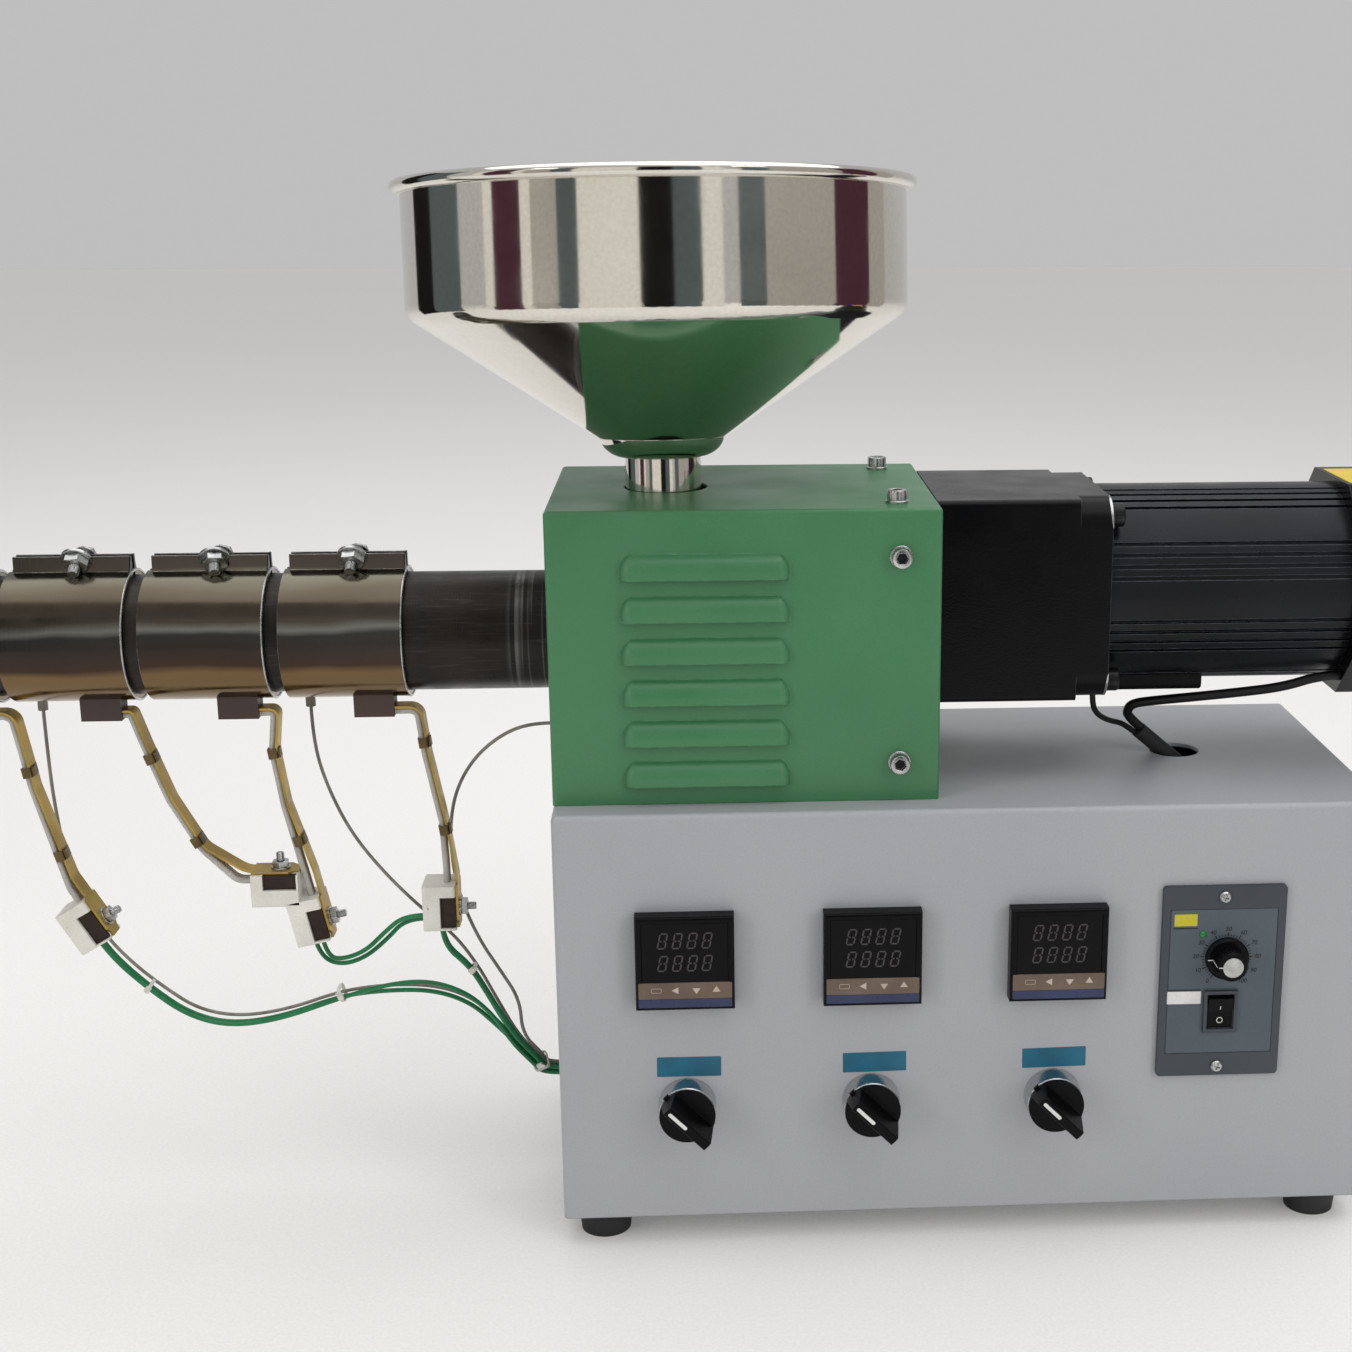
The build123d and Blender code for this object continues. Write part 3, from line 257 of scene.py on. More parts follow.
looks = {
    # The cabinet's white powder is given a light grey, darkened to copy the shade on its front: partly
    # painted shade.
    "cabinet_powder": surface("white_powder", (174, 175, 179), (166, 168, 172), (0.34, 0.48), grain=900,
                              bump=0.10, edge=1.2, blotch=6),
    "green_powder": surface("green_powder", (70, 130, 87), (60, 118, 76), (0.3, 0.44), grain=900,
                            bump=0.12, edge=1.3, blotch=7, worn=(108, 166, 122), wear=0.1),
    "black_rubber": surface("foot_rubber", (40, 40, 42), (24, 24, 26), (0.6, 0.8), grain=500, bump=0.3,
                            edge=0.8, worn=(84, 82, 80)),
    "polished_stainless": surface("polished_steel", (226, 222, 214), (212, 207, 198), (0.05, 0.10), 1.0,
                                  blotch=10, grain=500, bump=0.02, edge=0.6, pattern=waved_sheet),
    "block_steel": surface("block_steel", (150, 148, 146), (118, 114, 110), (0.3, 0.45), 1.0, edge=0.6,
                           worn=(190, 188, 184), spots=(300, 0.66, (92, 70, 52))),
    "screw_steel": surface("screw_steel", (160, 158, 154), (120, 116, 112), (0.25, 0.4), 1.0, edge=0.4),
    "black_steel": surface("oxide_steel", (50, 49, 48), (26, 25, 25), (0.26, 0.42), 0.9, blotch=24,
                           bump=0.14, edge=0.6, worn=(150, 146, 140), pattern=turned_rings),
    "nozzle_brass": surface("nozzle_brass", (196, 160, 92), (150, 114, 62), (0.25, 0.4), 1.0, edge=0.4,
                            worn=(220, 190, 130), spots=(260, 0.64, (96, 70, 44))),
    # The bands' colours by height are painted reflections and a painted highlight, with some brown heat
    # tint.
    "band_stainless": surface("band_sheet", (190, 188, 182), (164, 160, 154), (0.13, 0.24), 1.0,
                              blotch=18, bump=0.06, edge=0.3, worn=(232, 230, 224), pattern=heated_sheet),
    "brown_moulding": surface("cap_brown", (72, 50, 42), (48, 34, 30), (0.4, 0.6), edge=0.5,
                              worn=(116, 92, 76)),
    "white_ceramic": surface("ceramic", (236, 234, 226), (216, 212, 202), (0.35, 0.6), blotch=60,
                             bump=0.25, edge=0.6, spots=(420, 0.70, (160, 150, 138))),
    "yellow_zinc": surface("yellow_zinc", (194, 164, 80), (150, 122, 52), (0.3, 0.46), 0.85, blotch=50,
                           bump=0.12, edge=0.3, worn=(212, 202, 168), pattern=zinc_tints),
    "glass_sleeve": surface("glass_sleeve", (216, 213, 207), (192, 188, 180), (0.7, 0.9), blotch=70,
                            bump=0.5, edge=0.2, pattern=woven(900)),
    # Black enamel: the light tone on its edges is partly wear and partly a painted highlight along the
    # edges.
    "black_casting": surface("black_enamel", (10, 10, 13), (6, 6, 8), (0.18, 0.3), blotch=9, grain=1100,
                             bump=0.14, edge=0.7, worn=(96, 98, 102), wear=0.3, gloss=0.15),
    # Black anodised motor: the blue-grey tone on its edges is partly wear and partly a painted highlight
    # along the ridges.
    "black_extrusion": surface("black_anodised", (26, 28, 33), (15, 16, 19), (0.24, 0.36), 0.35,
                               blotch=16, bump=0.10, edge=0.4, worn=(136, 142, 156), wear=0.4, gloss=0.3,
                               pattern=long_lines),
    "selector_chrome": surface("satin_chrome", (208, 210, 212), (182, 184, 186), (0.16, 0.3), 1.0,
                               blotch=60, bump=0.06, edge=0.5, worn=(236, 236, 236)),
    "grey_moulding": surface("unit_grey", (62, 67, 74), (53, 58, 65), (0.4, 0.55), grain=1300, bump=0.18,
                             edge=0.6),
    "black_moulding": surface("black_plastic", (10, 10, 12), (6, 6, 8), (0.22, 0.36), grain=1300,
                              bump=0.10, edge=0.5, worn=(46, 46, 49), wear=0.1, gloss=0.11),
    "braid": surface("steel_braid", (176, 170, 160), (136, 128, 118), metal=0.35, blotch=90, bump=0.5,
                     edge=0.1, pattern=woven(1500)),
    "green_insulation": surface("green_pvc", (10, 128, 74), (4, 104, 58), (0.16, 0.3), blotch=50,
                                grain=900, bump=0.05, edge=0.1),
    "black_insulation": surface("black_pvc", (22, 22, 24), (13, 13, 14), (0.3, 0.5), blotch=60, bump=0.1,
                                edge=0.2, gloss=0.35),
}
bright_zinc = surface("bright_zinc", (204, 204, 202), (160, 162, 164), (0.18, 0.34), 1.0, blotch=140,
                      bump=0.03, edge=0.2, worn=(236, 236, 234))
# Dark tone for the bottoms of the screw sockets: painted shade.
socket_painted_shade = surface("socket_painted_shade", (52, 52, 54), (30, 30, 32), (0.4, 0.6), 0.8, edge=0.1)
oxide_screw = surface("oxide_screw", (40, 40, 42), (24, 24, 26), (0.25, 0.4), 0.8, blotch=140, edge=0.3,
                      worn=(120, 120, 120))
display_glass = surface("display_glass", (10, 8, 10), (6, 5, 7), (0.06, 0.14), blotch=30, bump=0.01,
                        edge=0.2, gloss=0.12)
window_brown = surface("window_brown", (58, 46, 38), (36, 28, 24), (0.4, 0.6), 0.6, blotch=140, edge=0.1)
dim_segment = surface("dim_segment", (66, 60, 60), (52, 47, 48), (0.3, 0.5), blotch=90, bump=0.02,
                      edge=0.05)
clip_zinc = surface("clip_zinc", (120, 100, 66), (84, 70, 46), metal=0.8, blotch=120, bump=0.08, edge=0.2,
                    worn=(180, 168, 130))
key_copper = surface("key_copper", (116, 98, 84), (98, 82, 70), (0.3, 0.45), 0.25, blotch=60, bump=0.08,
                     edge=0.2)
key_mark = surface("key_mark", (200, 184, 168), (180, 164, 150), (0.4, 0.5), blotch=80, bump=0.02,
                   edge=0.05)
strip_blue = surface("strip_blue", (40, 52, 92), (30, 40, 76), (0.25, 0.4), blotch=60, bump=0.04,
                     edge=0.1)
teal_tape = surface("teal_tape", (14, 104, 132), (8, 84, 110), (0.4, 0.6), blotch=70, bump=0.12, edge=0.1)
panel_blue = surface("panel_blue", (80, 91, 100), (71, 82, 91), blotch=20, bump=0.05, edge=0.2)
ink = surface("ink", (20, 24, 30), (13, 16, 21), (0.4, 0.6), blotch=80, bump=0.02, edge=0.02)
white_ink = surface("white_ink", (236, 236, 234), (216, 216, 214), (0.4, 0.55), blotch=80, bump=0.03,
                    edge=0.05)
yellow_film = surface("yellow_film", (206, 196, 40), (184, 176, 30), (0.3, 0.45), blotch=60, bump=0.05,
                      edge=0.1)
yellow_plate = surface("yellow_plate", (232, 204, 40), (214, 184, 24), (0.3, 0.45), blotch=40, bump=0.05,
                       edge=0.2)
paper_white = surface("paper_white", (232, 230, 228), (214, 212, 210), (0.6, 0.8), blotch=60, bump=0.1,
                      edge=0.1)
lamp_green = surface("lamp_green", (20, 130, 50), (10, 96, 34), (0.1, 0.2), blotch=90, bump=0.02,
                     edge=0.2, coat=0.5)
tie_white = surface("tie_white", (230, 228, 220), (206, 204, 194), blotch=90, bump=0.08, edge=0.1)

for slot in frame["record"]["materials"]:
    if slot["slot"] not in looks:
        raise SystemExit("no look for " + slot["slot"])
slot_of = {part["node"]: part["material_slot"] for part in frame["record"]["subparts"]}
for name, solid in nodes.items():
    solid.data.materials.clear()
    solid.data.materials.append(looks[slot_of[name]])


# Building pieces out of rings of points

SHARP_FROM = 32.0


def axes(origin, forward, up):
    """The matrix from local millimetres, Z forward and Y up, to the scene's metres."""
    forward = Vector(forward).normalized()
    up = Vector(up)
    up = (up - forward * up.dot(forward)).normalized()
    side = up.cross(forward)
    turn = Matrix((side, up, forward)).transposed().to_4x4()
    return Matrix.Translation(at(*origin)) @ turn @ Matrix.Scale(MM, 4)


def ring(z, radius, shape="round", count=24):
    """Points round the local Z axis: a circle, a hexagon by its half width, or a cross by its arm."""
    points = []
    for index in range(count):
        angle = 2 * math.pi * index / count
        cosine, sine = abs(math.cos(angle)), abs(math.sin(angle))
        reach = radius
        if shape == "hex":
            reach = radius / math.cos(angle % (math.pi / 3) - math.pi / 6)
        elif shape == "cross":
            arm = radius * 0.26
            tall = min(radius / max(sine, 1e-6), arm / max(cosine, 1e-6))
            wide = min(radius / max(cosine, 1e-6), arm / max(sine, 1e-6))
            reach = max(tall, wide)
        points.append((reach * math.cos(angle), reach * math.sin(angle), z))
    return points


def rings(profile, shape="round", count=24):
    """Rings from pairs of a place along the local Z axis and a radius."""
    return [ring(z, radius, shape, count) for z, radius in profile]


def box_ring(z, width, height, corner, steps=4, middle=(0, 0)):
    """A rounded rectangle about the local Z axis."""
    points = []
    for quarter, (sx, sy) in enumerate(((1, 1), (-1, 1), (-1, -1), (1, -1))):
        for step in range(steps + 1):
            angle = (quarter + step / steps) * math.pi / 2
            x = sx * (width / 2 - corner) + corner * math.cos(angle) + middle[0]
            y = sy * (height / 2 - corner) + corner * math.sin(angle) + middle[1]
            points.append((x, y, z))
    return points


class Shape:
    """Rings of points joined into closed skins, gathered for one piece."""

    def __init__(self):
        self.points = []
        self.faces = []

    def skin(self, place, loops, closed=False):
        count = len(loops[0])
        base = len(self.points)
        for loop in loops:
            self.points += [place @ Vector(point) for point in loop]
        pairs = [(level, level + 1) for level in range(len(loops) - 1)]
        if closed:
            pairs.append((len(loops) - 1, 0))
        for first, second in pairs:
            for index in range(count):
                after = (index + 1) % count
                self.faces.append((base + first * count + index, base + first * count + after,
                                   base + second * count + after, base + second * count + index))
        if not closed:
            self.faces.append(tuple(base + index for index in range(count)))
            last = base + (len(loops) - 1) * count
            self.faces.append(tuple(last + index for index in range(count)))

    def flat(self, place, outline, low, high):
        """A thin plate with any outline."""
        self.skin(place, [[(x, y, z) for x, y in outline] for z in (low, high)])

    def make(self, name, material, body=MACHINE, slot=None):
        mesh = bpy.data.meshes.new(name)
        mesh.from_pydata(self.points, [], self.faces)
        work = bmesh.new()
        work.from_mesh(mesh)
        bmesh.ops.recalc_face_normals(work, faces=work.faces)
        work.to_mesh(mesh)
        work.free()
        mesh.polygons.foreach_set("use_smooth", [True] * len(mesh.polygons))
        mesh.set_sharp_from_angle(angle=math.radians(SHARP_FROM))
        mesh.materials.append(material)
        piece = add_object(name, mesh)
        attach(piece, body)


def plate(shape, place, width, height, thick, corner=1.0, edge=0.3, low=0.0, middle=(0, 0)):
    """A plate with rounded corners and a small bevel round its face."""
    inner = max(corner - edge, 0.05)
    shape.skin(place, [box_ring(low, width, height, corner, middle=middle),
                       box_ring(low + thick - edge, width, height, corner, middle=middle),
                       box_ring(low + thick, width - 2 * edge, height - 2 * edge, inner, middle=middle)])


def make_plate(name, material, place, *sizes, body=MACHINE, **more):
    """A plate that is a piece of its own."""
    shape = Shape()
    plate(shape, place, *sizes, **more)
    shape.make(name, material, body=body)


def hoop(shape, place, low, high, outer, inner, middle=(0, 0)):
    """A closed loop of strip: outer and inner each give a width, a height and a corner."""
    corners = ((low, outer), (high, outer), (high, inner), (low, inner))
    shape.skin(place, [box_ring(z, *sizes, middle=middle) for z, sizes in corners], closed=True)


def socket_screw(shape, place, radius, height, socket, washer=0.0):
    """A knurled cap screw with a hexagon socket, on a washer or sunk a little into its seat."""
    if washer:
        shape.skin(place, rings(((0, washer), (1.0, washer), (1.3, washer - 0.3))))
    low = 1.2 if washer else -0.5
    top = low + height

    def grip(z, shrink=0.0):
        points = []
        for index in range(48):
            angle = math.pi * index / 24
            reach = radius - 0.12 * (index % 2) - shrink
            points.append((reach * math.cos(angle), reach * math.sin(angle), z))
        return points

    sunk = ((top, socket + 0.3), (top - 0.3, socket), (top - height * 0.55, socket))
    shape.skin(place, [grip(low), grip(top - 0.8), grip(top - 0.3, 0.25), grip(top, 0.8)]
               + rings(sunk, "hex", 48) + [ring(top - height * 0.6, 0.4, count=48)])


def hex_nut(shape, place, half_width, thick, bore, low=0.0):
    """A hexagon nut with chamfered corners and an open bore."""
    edge = 0.35
    top = low + thick
    flats = ((low + edge * 0.6, half_width), (top - edge * 0.6, half_width))
    shape.skin(place, [ring(low, half_width - edge)] + rings(flats, "hex")
               + rings(((top, half_width - edge), (top, bore), (low, bore))), closed=True)


def screw_end(shape, place, radius, low, high, pitch=0.7):
    """A threaded end: turns of thread as rings, and a chamfered tip."""
    profile = [(low, radius - 0.2)]
    turns = int((high - low - 0.6) / pitch)
    for turn in range(turns):
        z = low + 0.1 + turn * pitch
        profile += [(z + pitch * 0.25, radius), (z + pitch * 0.75, radius - 0.28)]
    profile += [(high - 0.4, radius - 0.1), (high, radius - 0.5)]
    shape.skin(place, rings(profile, count=16))


# Screws of the guard, the gearbox flange and the cabinet's back

GUARD_FRONT, GUARD_TOP = 17.0, 356.0
GUARD_SCREWS = (
    ("guard_screw_front_top", (168.3, GUARD_FRONT, 332.9), FRONT, UP),
    ("guard_screw_front_low", (168.3, GUARD_FRONT, 231.5), FRONT, (0.3, 0, 1)),
    ("guard_screw_top_back", (167.2, 142.1, GUARD_TOP), UP, (0, 1, 0)),
    ("guard_screw_top_front", (167.6, 34.4, GUARD_TOP), UP, (0.4, 1, 0)),
)
for name, origin, forward, up in GUARD_SCREWS:
    head, socket_shade = Shape(), Shape()
    place = axes(origin, forward, up)
    socket_screw(head, place, radius=4.9, height=5.2, socket=2.5, washer=5.6)
    head.make(name, bright_zinc)
    # A dark hexagon at the bottom of each socket: painted shade in the recess.
    socket_shade.skin(place, rings(((3.6, 2.3), (3.75, 2.3)), "hex"))
    socket_shade.make(name + "_socket", socket_painted_shade)

FLANGE_RIGHT = 274.0
FLANGE_HALF = 50.5
FLANGE_CORNER = 14.0
FLANGE_BOLT_REACH = 41.5
flange_bolts = Shape()
for side_y in (-1, 1):
    for side_z in (-1, 1):
        origin = (FLANGE_RIGHT, DRIVE_Y + side_y * FLANGE_BOLT_REACH,
                  GEARBOX_Z + side_z * FLANGE_BOLT_REACH)
        socket_screw(flange_bolts, axes(origin, (1, 0, 0), UP), radius=5.8, height=7.0, socket=3.0)
flange_bolts.make("flange_bolts", oxide_screw)

BACK_Y = 182.0
back_screws = Shape()
for x in (12, 203, 394):
    for z in (12, 200):
        place = axes((x, BACK_Y, z), (0, 1, 0), UP)
        back_screws.skin(place, rings(((-0.3, 3.6), (0.8, 3.4), (1.5, 2.6)), count=48)
                         + rings(((1.6, 1.9), (0.5, 1.7)), "cross", 48))
back_screws.make("back_panel_screws", bright_zinc)

# Clamp bolts across the bands' turned-up edges

EAR_Z = BARREL_Z + BAND_OUTER + 3.6
BAND_RIGHTS = (-276.7, -209.2, -141.7, -74.2)
BOLT_TILTS = (0.16, -0.10, 0.08, -0.12)
BOLT_INSET = 26.4
BOLT_RADIUS = 2.9
clamp_bolts = Shape()
for right, tilt in zip(BAND_RIGHTS, BOLT_TILTS):
    x = right - BOLT_INSET
    near = axes((x, DRIVE_Y - 5.2, EAR_Z + 1.6), (0.10 + tilt, -1, -0.72), (tilt, 0, 1))
    clamp_bolts.skin(near, rings(((-2.2, 7.6), (-0.9, 7.6), (-0.7, 7.3))))
    hex_nut(clamp_bolts, near, half_width=5.6, thick=4.4, bore=BOLT_RADIUS, low=-0.7)
    screw_end(clamp_bolts, near, BOLT_RADIUS, low=-4.0, high=8.6)
    far = axes((x + 1.5, DRIVE_Y + 4.4, EAR_Z + 1.2), (0.1, 1, 0.2), (0.2, 0, 1))
    clamp_bolts.skin(far, rings(((-0.6, 6.6), (0.6, 6.6), (0.8, 6.4))))
    clamp_bolts.skin(far, rings(((0.6, 5.0), (4.2, 5.0)), "hex") + [ring(4.6, 4.4)])
    screw_end(clamp_bolts, axes((x, DRIVE_Y, EAR_Z), FRONT, UP), BOLT_RADIUS, low=-5.0, high=5.0)
clamp_bolts.make("clamp_bolts", bright_zinc)

# The bright rolled rim at each band's right end: places along it, and how far each stands past the band

RIM_SHAPE = ((0.0, -0.2), (0.15, 0.25), (0.6, 0.35), (0.95, 0.0), (0.95, -0.9), (0.0, -0.9))
rims = Shape()
for right in BAND_RIGHTS:
    rim = axes((right - 0.55, DRIVE_Y, BARREL_Z), (1, 0, 0), UP)
    rims.skin(rim, rings([(z, BAND_OUTER + proud) for z, proud in RIM_SHAPE], count=96), closed=True)
rims.make("band_rims", bright_zinc)

# Dark plates on the turned-up edges' right ends: painted shade for the shadowed inside of the ears

ear_end_shade = Shape()
for right in BAND_RIGHTS:
    foot, top = BAND_OUTER - 0.6, BAND_OUTER + 7.5
    place = axes((right - 0.75, DRIVE_Y, BARREL_Z), (1, 0, 0), UP)
    for side, flare in ((1, 0.9), (-1, 4.6)):
        inner, outer = side * 1.9, side * 3.8
        outline = [(inner, foot), (outer + side * flare, foot), (outer + side * flare * 0.4, foot + 2.6),
                   (outer, top - 0.4), ((inner + outer) / 2, top + 0.3), (inner, top - 0.6)]
        ear_end_shade.flat(place, outline, 0.0, 0.7)
ear_end_shade.make("ear_end_shade", oxide_screw)

# Each strap's end, where a bolt holds its terminal block: the block's end and the strap's direction there

HANG_Y = 80.0
BLOCK_MIDDLE = 9.5
STRAP_ENDS = (
    ((-231.5, 127.5), (0.5, -0.866)),
    ((-135.2, 160.5), (1.0, 0.0)),
    ((-120.2, 124.0), (0.204, -0.979)),
    ((-55.2, 128.0), (0.0, -1.0)),
)
strap_bolts, block_windows = Shape(), Shape()
for (x, z), (dx, dz) in STRAP_ENDS:
    out = (-dz, 0, dx)
    foot = (x - dx * 10 + out[0] * 0.6, HANG_Y, z - dz * 10 + out[2] * 0.6)
    place = axes(foot, out, (dx, 0, dz))
    strap_bolts.skin(place, rings(((-0.2, 5.0), (0.7, 5.0), (0.9, 4.8))))
    hex_nut(strap_bolts, place, half_width=3.8, thick=3.2, bore=2.0, low=0.9)
    screw_end(strap_bolts, place, 2.1, low=0.0, high=8.4)
    for side_y in (-1, 1):
        middle = (x - dx * BLOCK_MIDDLE - out[0] * 4.6, HANG_Y + side_y * 6,
                  z - dz * BLOCK_MIDDLE - out[2] * 4.6)
        shade = axes(middle, (0, side_y, 0), (dx, 0, dz))
        block_windows.skin(shade, [box_ring(0.0, 7.7, 16.7, 0.4), box_ring(2.4, 7.7, 16.7, 0.4)])
strap_bolts.make("strap_bolts", bright_zinc)
block_windows.make("block_windows", window_brown)

# Each clip is a thin tab bent round a strap and its two sleeved leads: two spots by each strap's line

STRAP_CLIPS = (
    (((-284.7, 246.9), (-270.7, 246.9), (-263.7, 207), (-249.7, 159), (-231.5, 127.5)),
     ((-268.7, 215.3), (-257.5, 170.3))),
    (((-217.2, 246.9), (-212.2, 246.9), (-206.2, 228), (-196.2, 200), (-182.2, 174), (-162.2, 160.5),
      (-135.2, 160.5)), ((-205.7, 221.7), (-183.6, 178.3))),
    (((-149.7, 246.9), (-140.2, 246.9), (-142.7, 224), (-138.7, 196), (-127.7, 160), (-120.2, 124)),
     ((-145.1, 223.4), (-135.8, 176.2))),
    (((-82.2, 246.9), (-69.2, 246.9), (-66.2, 222), (-59.2, 185), (-55.2, 156), (-55.2, 128)),
     ((-70.5, 227.8), (-59.1, 181.3))),
)
CLIP_WIDE, CLIP_DEEP, CLIP_WALLS = 11.4, 5.2, 1.2


def nearest_on(line, x, z):
    """The nearest point of a broken line, and the line's direction there."""
    found = None
    for (x0, z0), (x1, z1) in zip(line, line[1:]):
        dx, dz = x1 - x0, z1 - z0
        length = math.hypot(dx, dz)
        share = max(0.0, min(1.0, ((x - x0) * dx + (z - z0) * dz) / length ** 2))
        px, pz = x0 + share * dx, z0 + share * dz
        away = math.hypot(x - px, z - pz)
        if found is None or away < found[0]:
            found = (away, px, pz, dx / length, dz / length)
    return found[1:]


clips = Shape()
for line, spots in STRAP_CLIPS:
    for spot_x, spot_z in spots:
        px, pz, dx, dz = nearest_on(line, spot_x, spot_z)
        outward = (-dz, 0, dx)
        middle = (px - outward[0] * 1.7, HANG_Y, pz - outward[2] * 1.7)
        place = axes(middle, (dx, 0, dz), outward)
        hoop(clips, place, -2.6, 2.6, (CLIP_WIDE, CLIP_DEEP, 1.4),
             (CLIP_WIDE - CLIP_WALLS, CLIP_DEEP - CLIP_WALLS, 0.9))
        tab = axes((middle[0] + outward[0] * 3.2, HANG_Y - 2.0, middle[2] + outward[2] * 3.2),
                   (dx, 0, dz), outward)
        clips.skin(tab, [box_ring(-2.3, 6.0, 0.9, 0.3), box_ring(2.3, 6.0, 0.9, 0.3)])
clips.make("strap_clips", clip_zinc)
nodes["thermocouple_probes"].data.materials[0] = looks["braid"]

# Loose wiring: each cord's diameter, real length and the points that its spline follows

BESIDE = 4.3


def harness_end(aside, layer):
    """Where a strand of the harness turns into the grommet: its place across, and its layer up."""
    side, rise = 2.4 * layer, 2.9 * layer
    return [(-30 + side, HANG_Y + aside, 60 + side), (-20 + side, 85 + aside, 46 + side),
            (-16 + side / 2, 92 + aside, 37 + rise), (-4, 92 + aside, 37 + rise)]


def level(y, points):
    return [(x, y, z) for x, z in points]


TRUNK = [(-216, 95), (-198, 80.5), (-177, 74), (-150, 77.5), (-119, 88.5)]
UPPER = [(-97, 95), (-74, 97.5), (-54, 90.5), (-40, 77)]
LOWER = [(-95, 91), (-71, 90.5), (-52, 83), (-39, 70)]
FIRST_PORT = [(-239.4, 122.9), (-233.9, 113.4)]
FOURTH_PORT = [(-64.3, 128), (-64.3, 117), (-51, 104.5), (-43, 90), (-36, 76)]
OVER = [(-126.2, 122.8), (-123.9, 112), (-116, 110.5), (-104, 115), (-94, 125), (-83.5, 134), (-72.8, 134)]
UNDER = [(-131.1, 121.7), (-128.8, 111), (-119, 105.5), (-106, 109), (-94, 119), (-83.5, 130.5),
         (-72.8, 130.5)]
LOOM = [(-194, 81.5), (-173, 76.8), (-147, 80.5), (-119, 90.2), (-95, 93), (-70, 92), (-51, 84.5),
        (-38, 71)]
ROUTES = {
    "heater_wire_1a": (2.4, 287.2, level(78.4, FIRST_PORT + TRUNK + UPPER) + harness_end(-1.6, 0)),
    "heater_wire_1b": (2.4, 281.4, level(81.6, FIRST_PORT + TRUNK + LOWER) + harness_end(1.6, 0)),
    "heater_wire_3a": (2.4, 68.9, level(77.8, OVER)),
    "heater_wire_3b": (2.4, 75.7, level(82.2, UNDER)),
    "heater_wire_4a": (2.4, 115.1, level(78.4, FOURTH_PORT) + harness_end(-1.6, 1)),
    "heater_wire_4b": (2.4, 115.1, level(81.6, FOURTH_PORT) + harness_end(1.6, 1)),
    "thermocouple_lead_1": (1.8, 403.4, [
        (-263.2, 98, 242.4), (-263.2, 98, 218), (-262, 97, 192), (-259, 96, 166), (-252, 95, 141),
        (-241, 93, 120), (-226, 89, 105), (-210, 85.3, 93)]
        + level(HANG_Y + BESIDE, LOOM) + harness_end(BESIDE, 0)),
    "thermocouple_lead_2": (1.8, 250.7, [
        (-128.2, 98, 242.4), (-128.2, 98, 222), (-122, 97, 198), (-111, 96, 173), (-94, 95, 150),
        (-76, 94, 131), (-60, 92.5, 117), (-48, 89, 101), (-38, 86, 82)] + harness_end(BESIDE, 1)),
    "thermocouple_lead_3": (1.8, 253.8, [
        (-3, 70, 239), (-14, 70, 239), (-29, 75, 232), (-44, 83, 218), (-55, 91, 199), (-60, 96, 178),
        (-60, 97, 156), (-56, 96, 135), (-47, 92, 114), (-36, 87.5, 98), (-26, 83, 83)]
        + harness_end(0, 2)),
    "motor_supply_cable": (5.0, 124.9, [
        (396, 56.4, 261.3), (386, 56.4, 261.3), (369, 60.5, 254.5), (345, 67, 250), (322, 74, 246),
        (306.3, 80, 243), (297, 83, 241), (294.4, 85.4, 237.3), (295.12, 87.45, 232.71),
        (302.55, 89, 226.2)]),
    "motor_signal_cable": (3.0, 55.1, [
        (271, 62, 254.5), (271, 62, 246.5), (275, 68, 239.5), (283, 77, 233.5),
        (293.16, 87.61, 228.97), (299.85, 89, 223.12)]),
}

for name, (diameter, length, points) in ROUTES.items():
    line = bpy.data.curves.new(name + "_line", "CURVE")
    line.dimensions = "3D"
    spline = line.splines.new("NURBS")
    spline.points.add(len(points) - 1)
    for spot, point in zip(spline.points, points):
        spot.co = (*at(*point), 1.0)
    spline.order_u = 3
    spline.use_endpoint_u = True
    spline.resolution_u = 10
    line.bevel_depth = diameter / 2 * MM
    line.bevel_resolution = 4
    line.use_fill_caps = True
    line.materials.append(looks[slot_of[name]])
    cord = add_object(name + "_line", line)
    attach(cord, MACHINE)
    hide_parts(name)

# Cable ties round the harness: middle, direction of the wires, and the bundle's width and depth

TIE_WALLS, TIE_HALF = 1.4, 0.9
TIES = (((-217.5, 82, 96.2), (0.78, 0, -0.63), 6.6, 5.2),
        ((-118.5, 82, 90.0), (0.94, 0, 0.33), 9.0, 6.4),
        ((-49.6, 80, 103.2), (0.66, 0, -0.75), 6.4, 3.4),
        ((-16.8, 89.8, 44.2), (0.34, 0.58, -0.74), 9.0, 7.2))
ties = Shape()
for (x, y, z), (dx, dy, dz), wide, deep in TIES:
    place = axes((x, y, z), (dx, dy, dz), (-dz, 0, dx))
    outer = (wide + TIE_WALLS, deep + TIE_WALLS, 1.8)
    hoop(ties, place, -TIE_HALF, TIE_HALF, outer, (wide, deep, 1.2))
    front = y - wide / 2
    head = axes((x, front - 1.2, z), (0, -1, 0), (dx, 0, dz))
    plate(ties, head, 3.2, 3.0, 1.9, 0.4, low=-0.8)
    tail = axes((x - dz * 1.0, front - 2.2, z + dx * 1.0), (-dz, -0.9, dx), (dx, 0, dz))
    ties.skin(tail, [box_ring(0, 0.8, 1.8, 0.3), box_ring(3.6, 0.7, 1.6, 0.3)])
ties.make("cable_ties", tie_white)

# Temperature controllers: glass, dim digits, key strip and blue strip

CONTROLLER_XS = (62.8, 154.0, 245.2)
CONTROLLER_Z = 139.0
GLASS_Y = -7.7
DIGIT_TALL = 7.6
DIGIT_ROWS = (12.0, 0.4)
DIGIT_FIRST, DIGIT_PITCH = -10.6, 7.15
KEY_Y = -13.4
KEY_DEPTH = 0.9


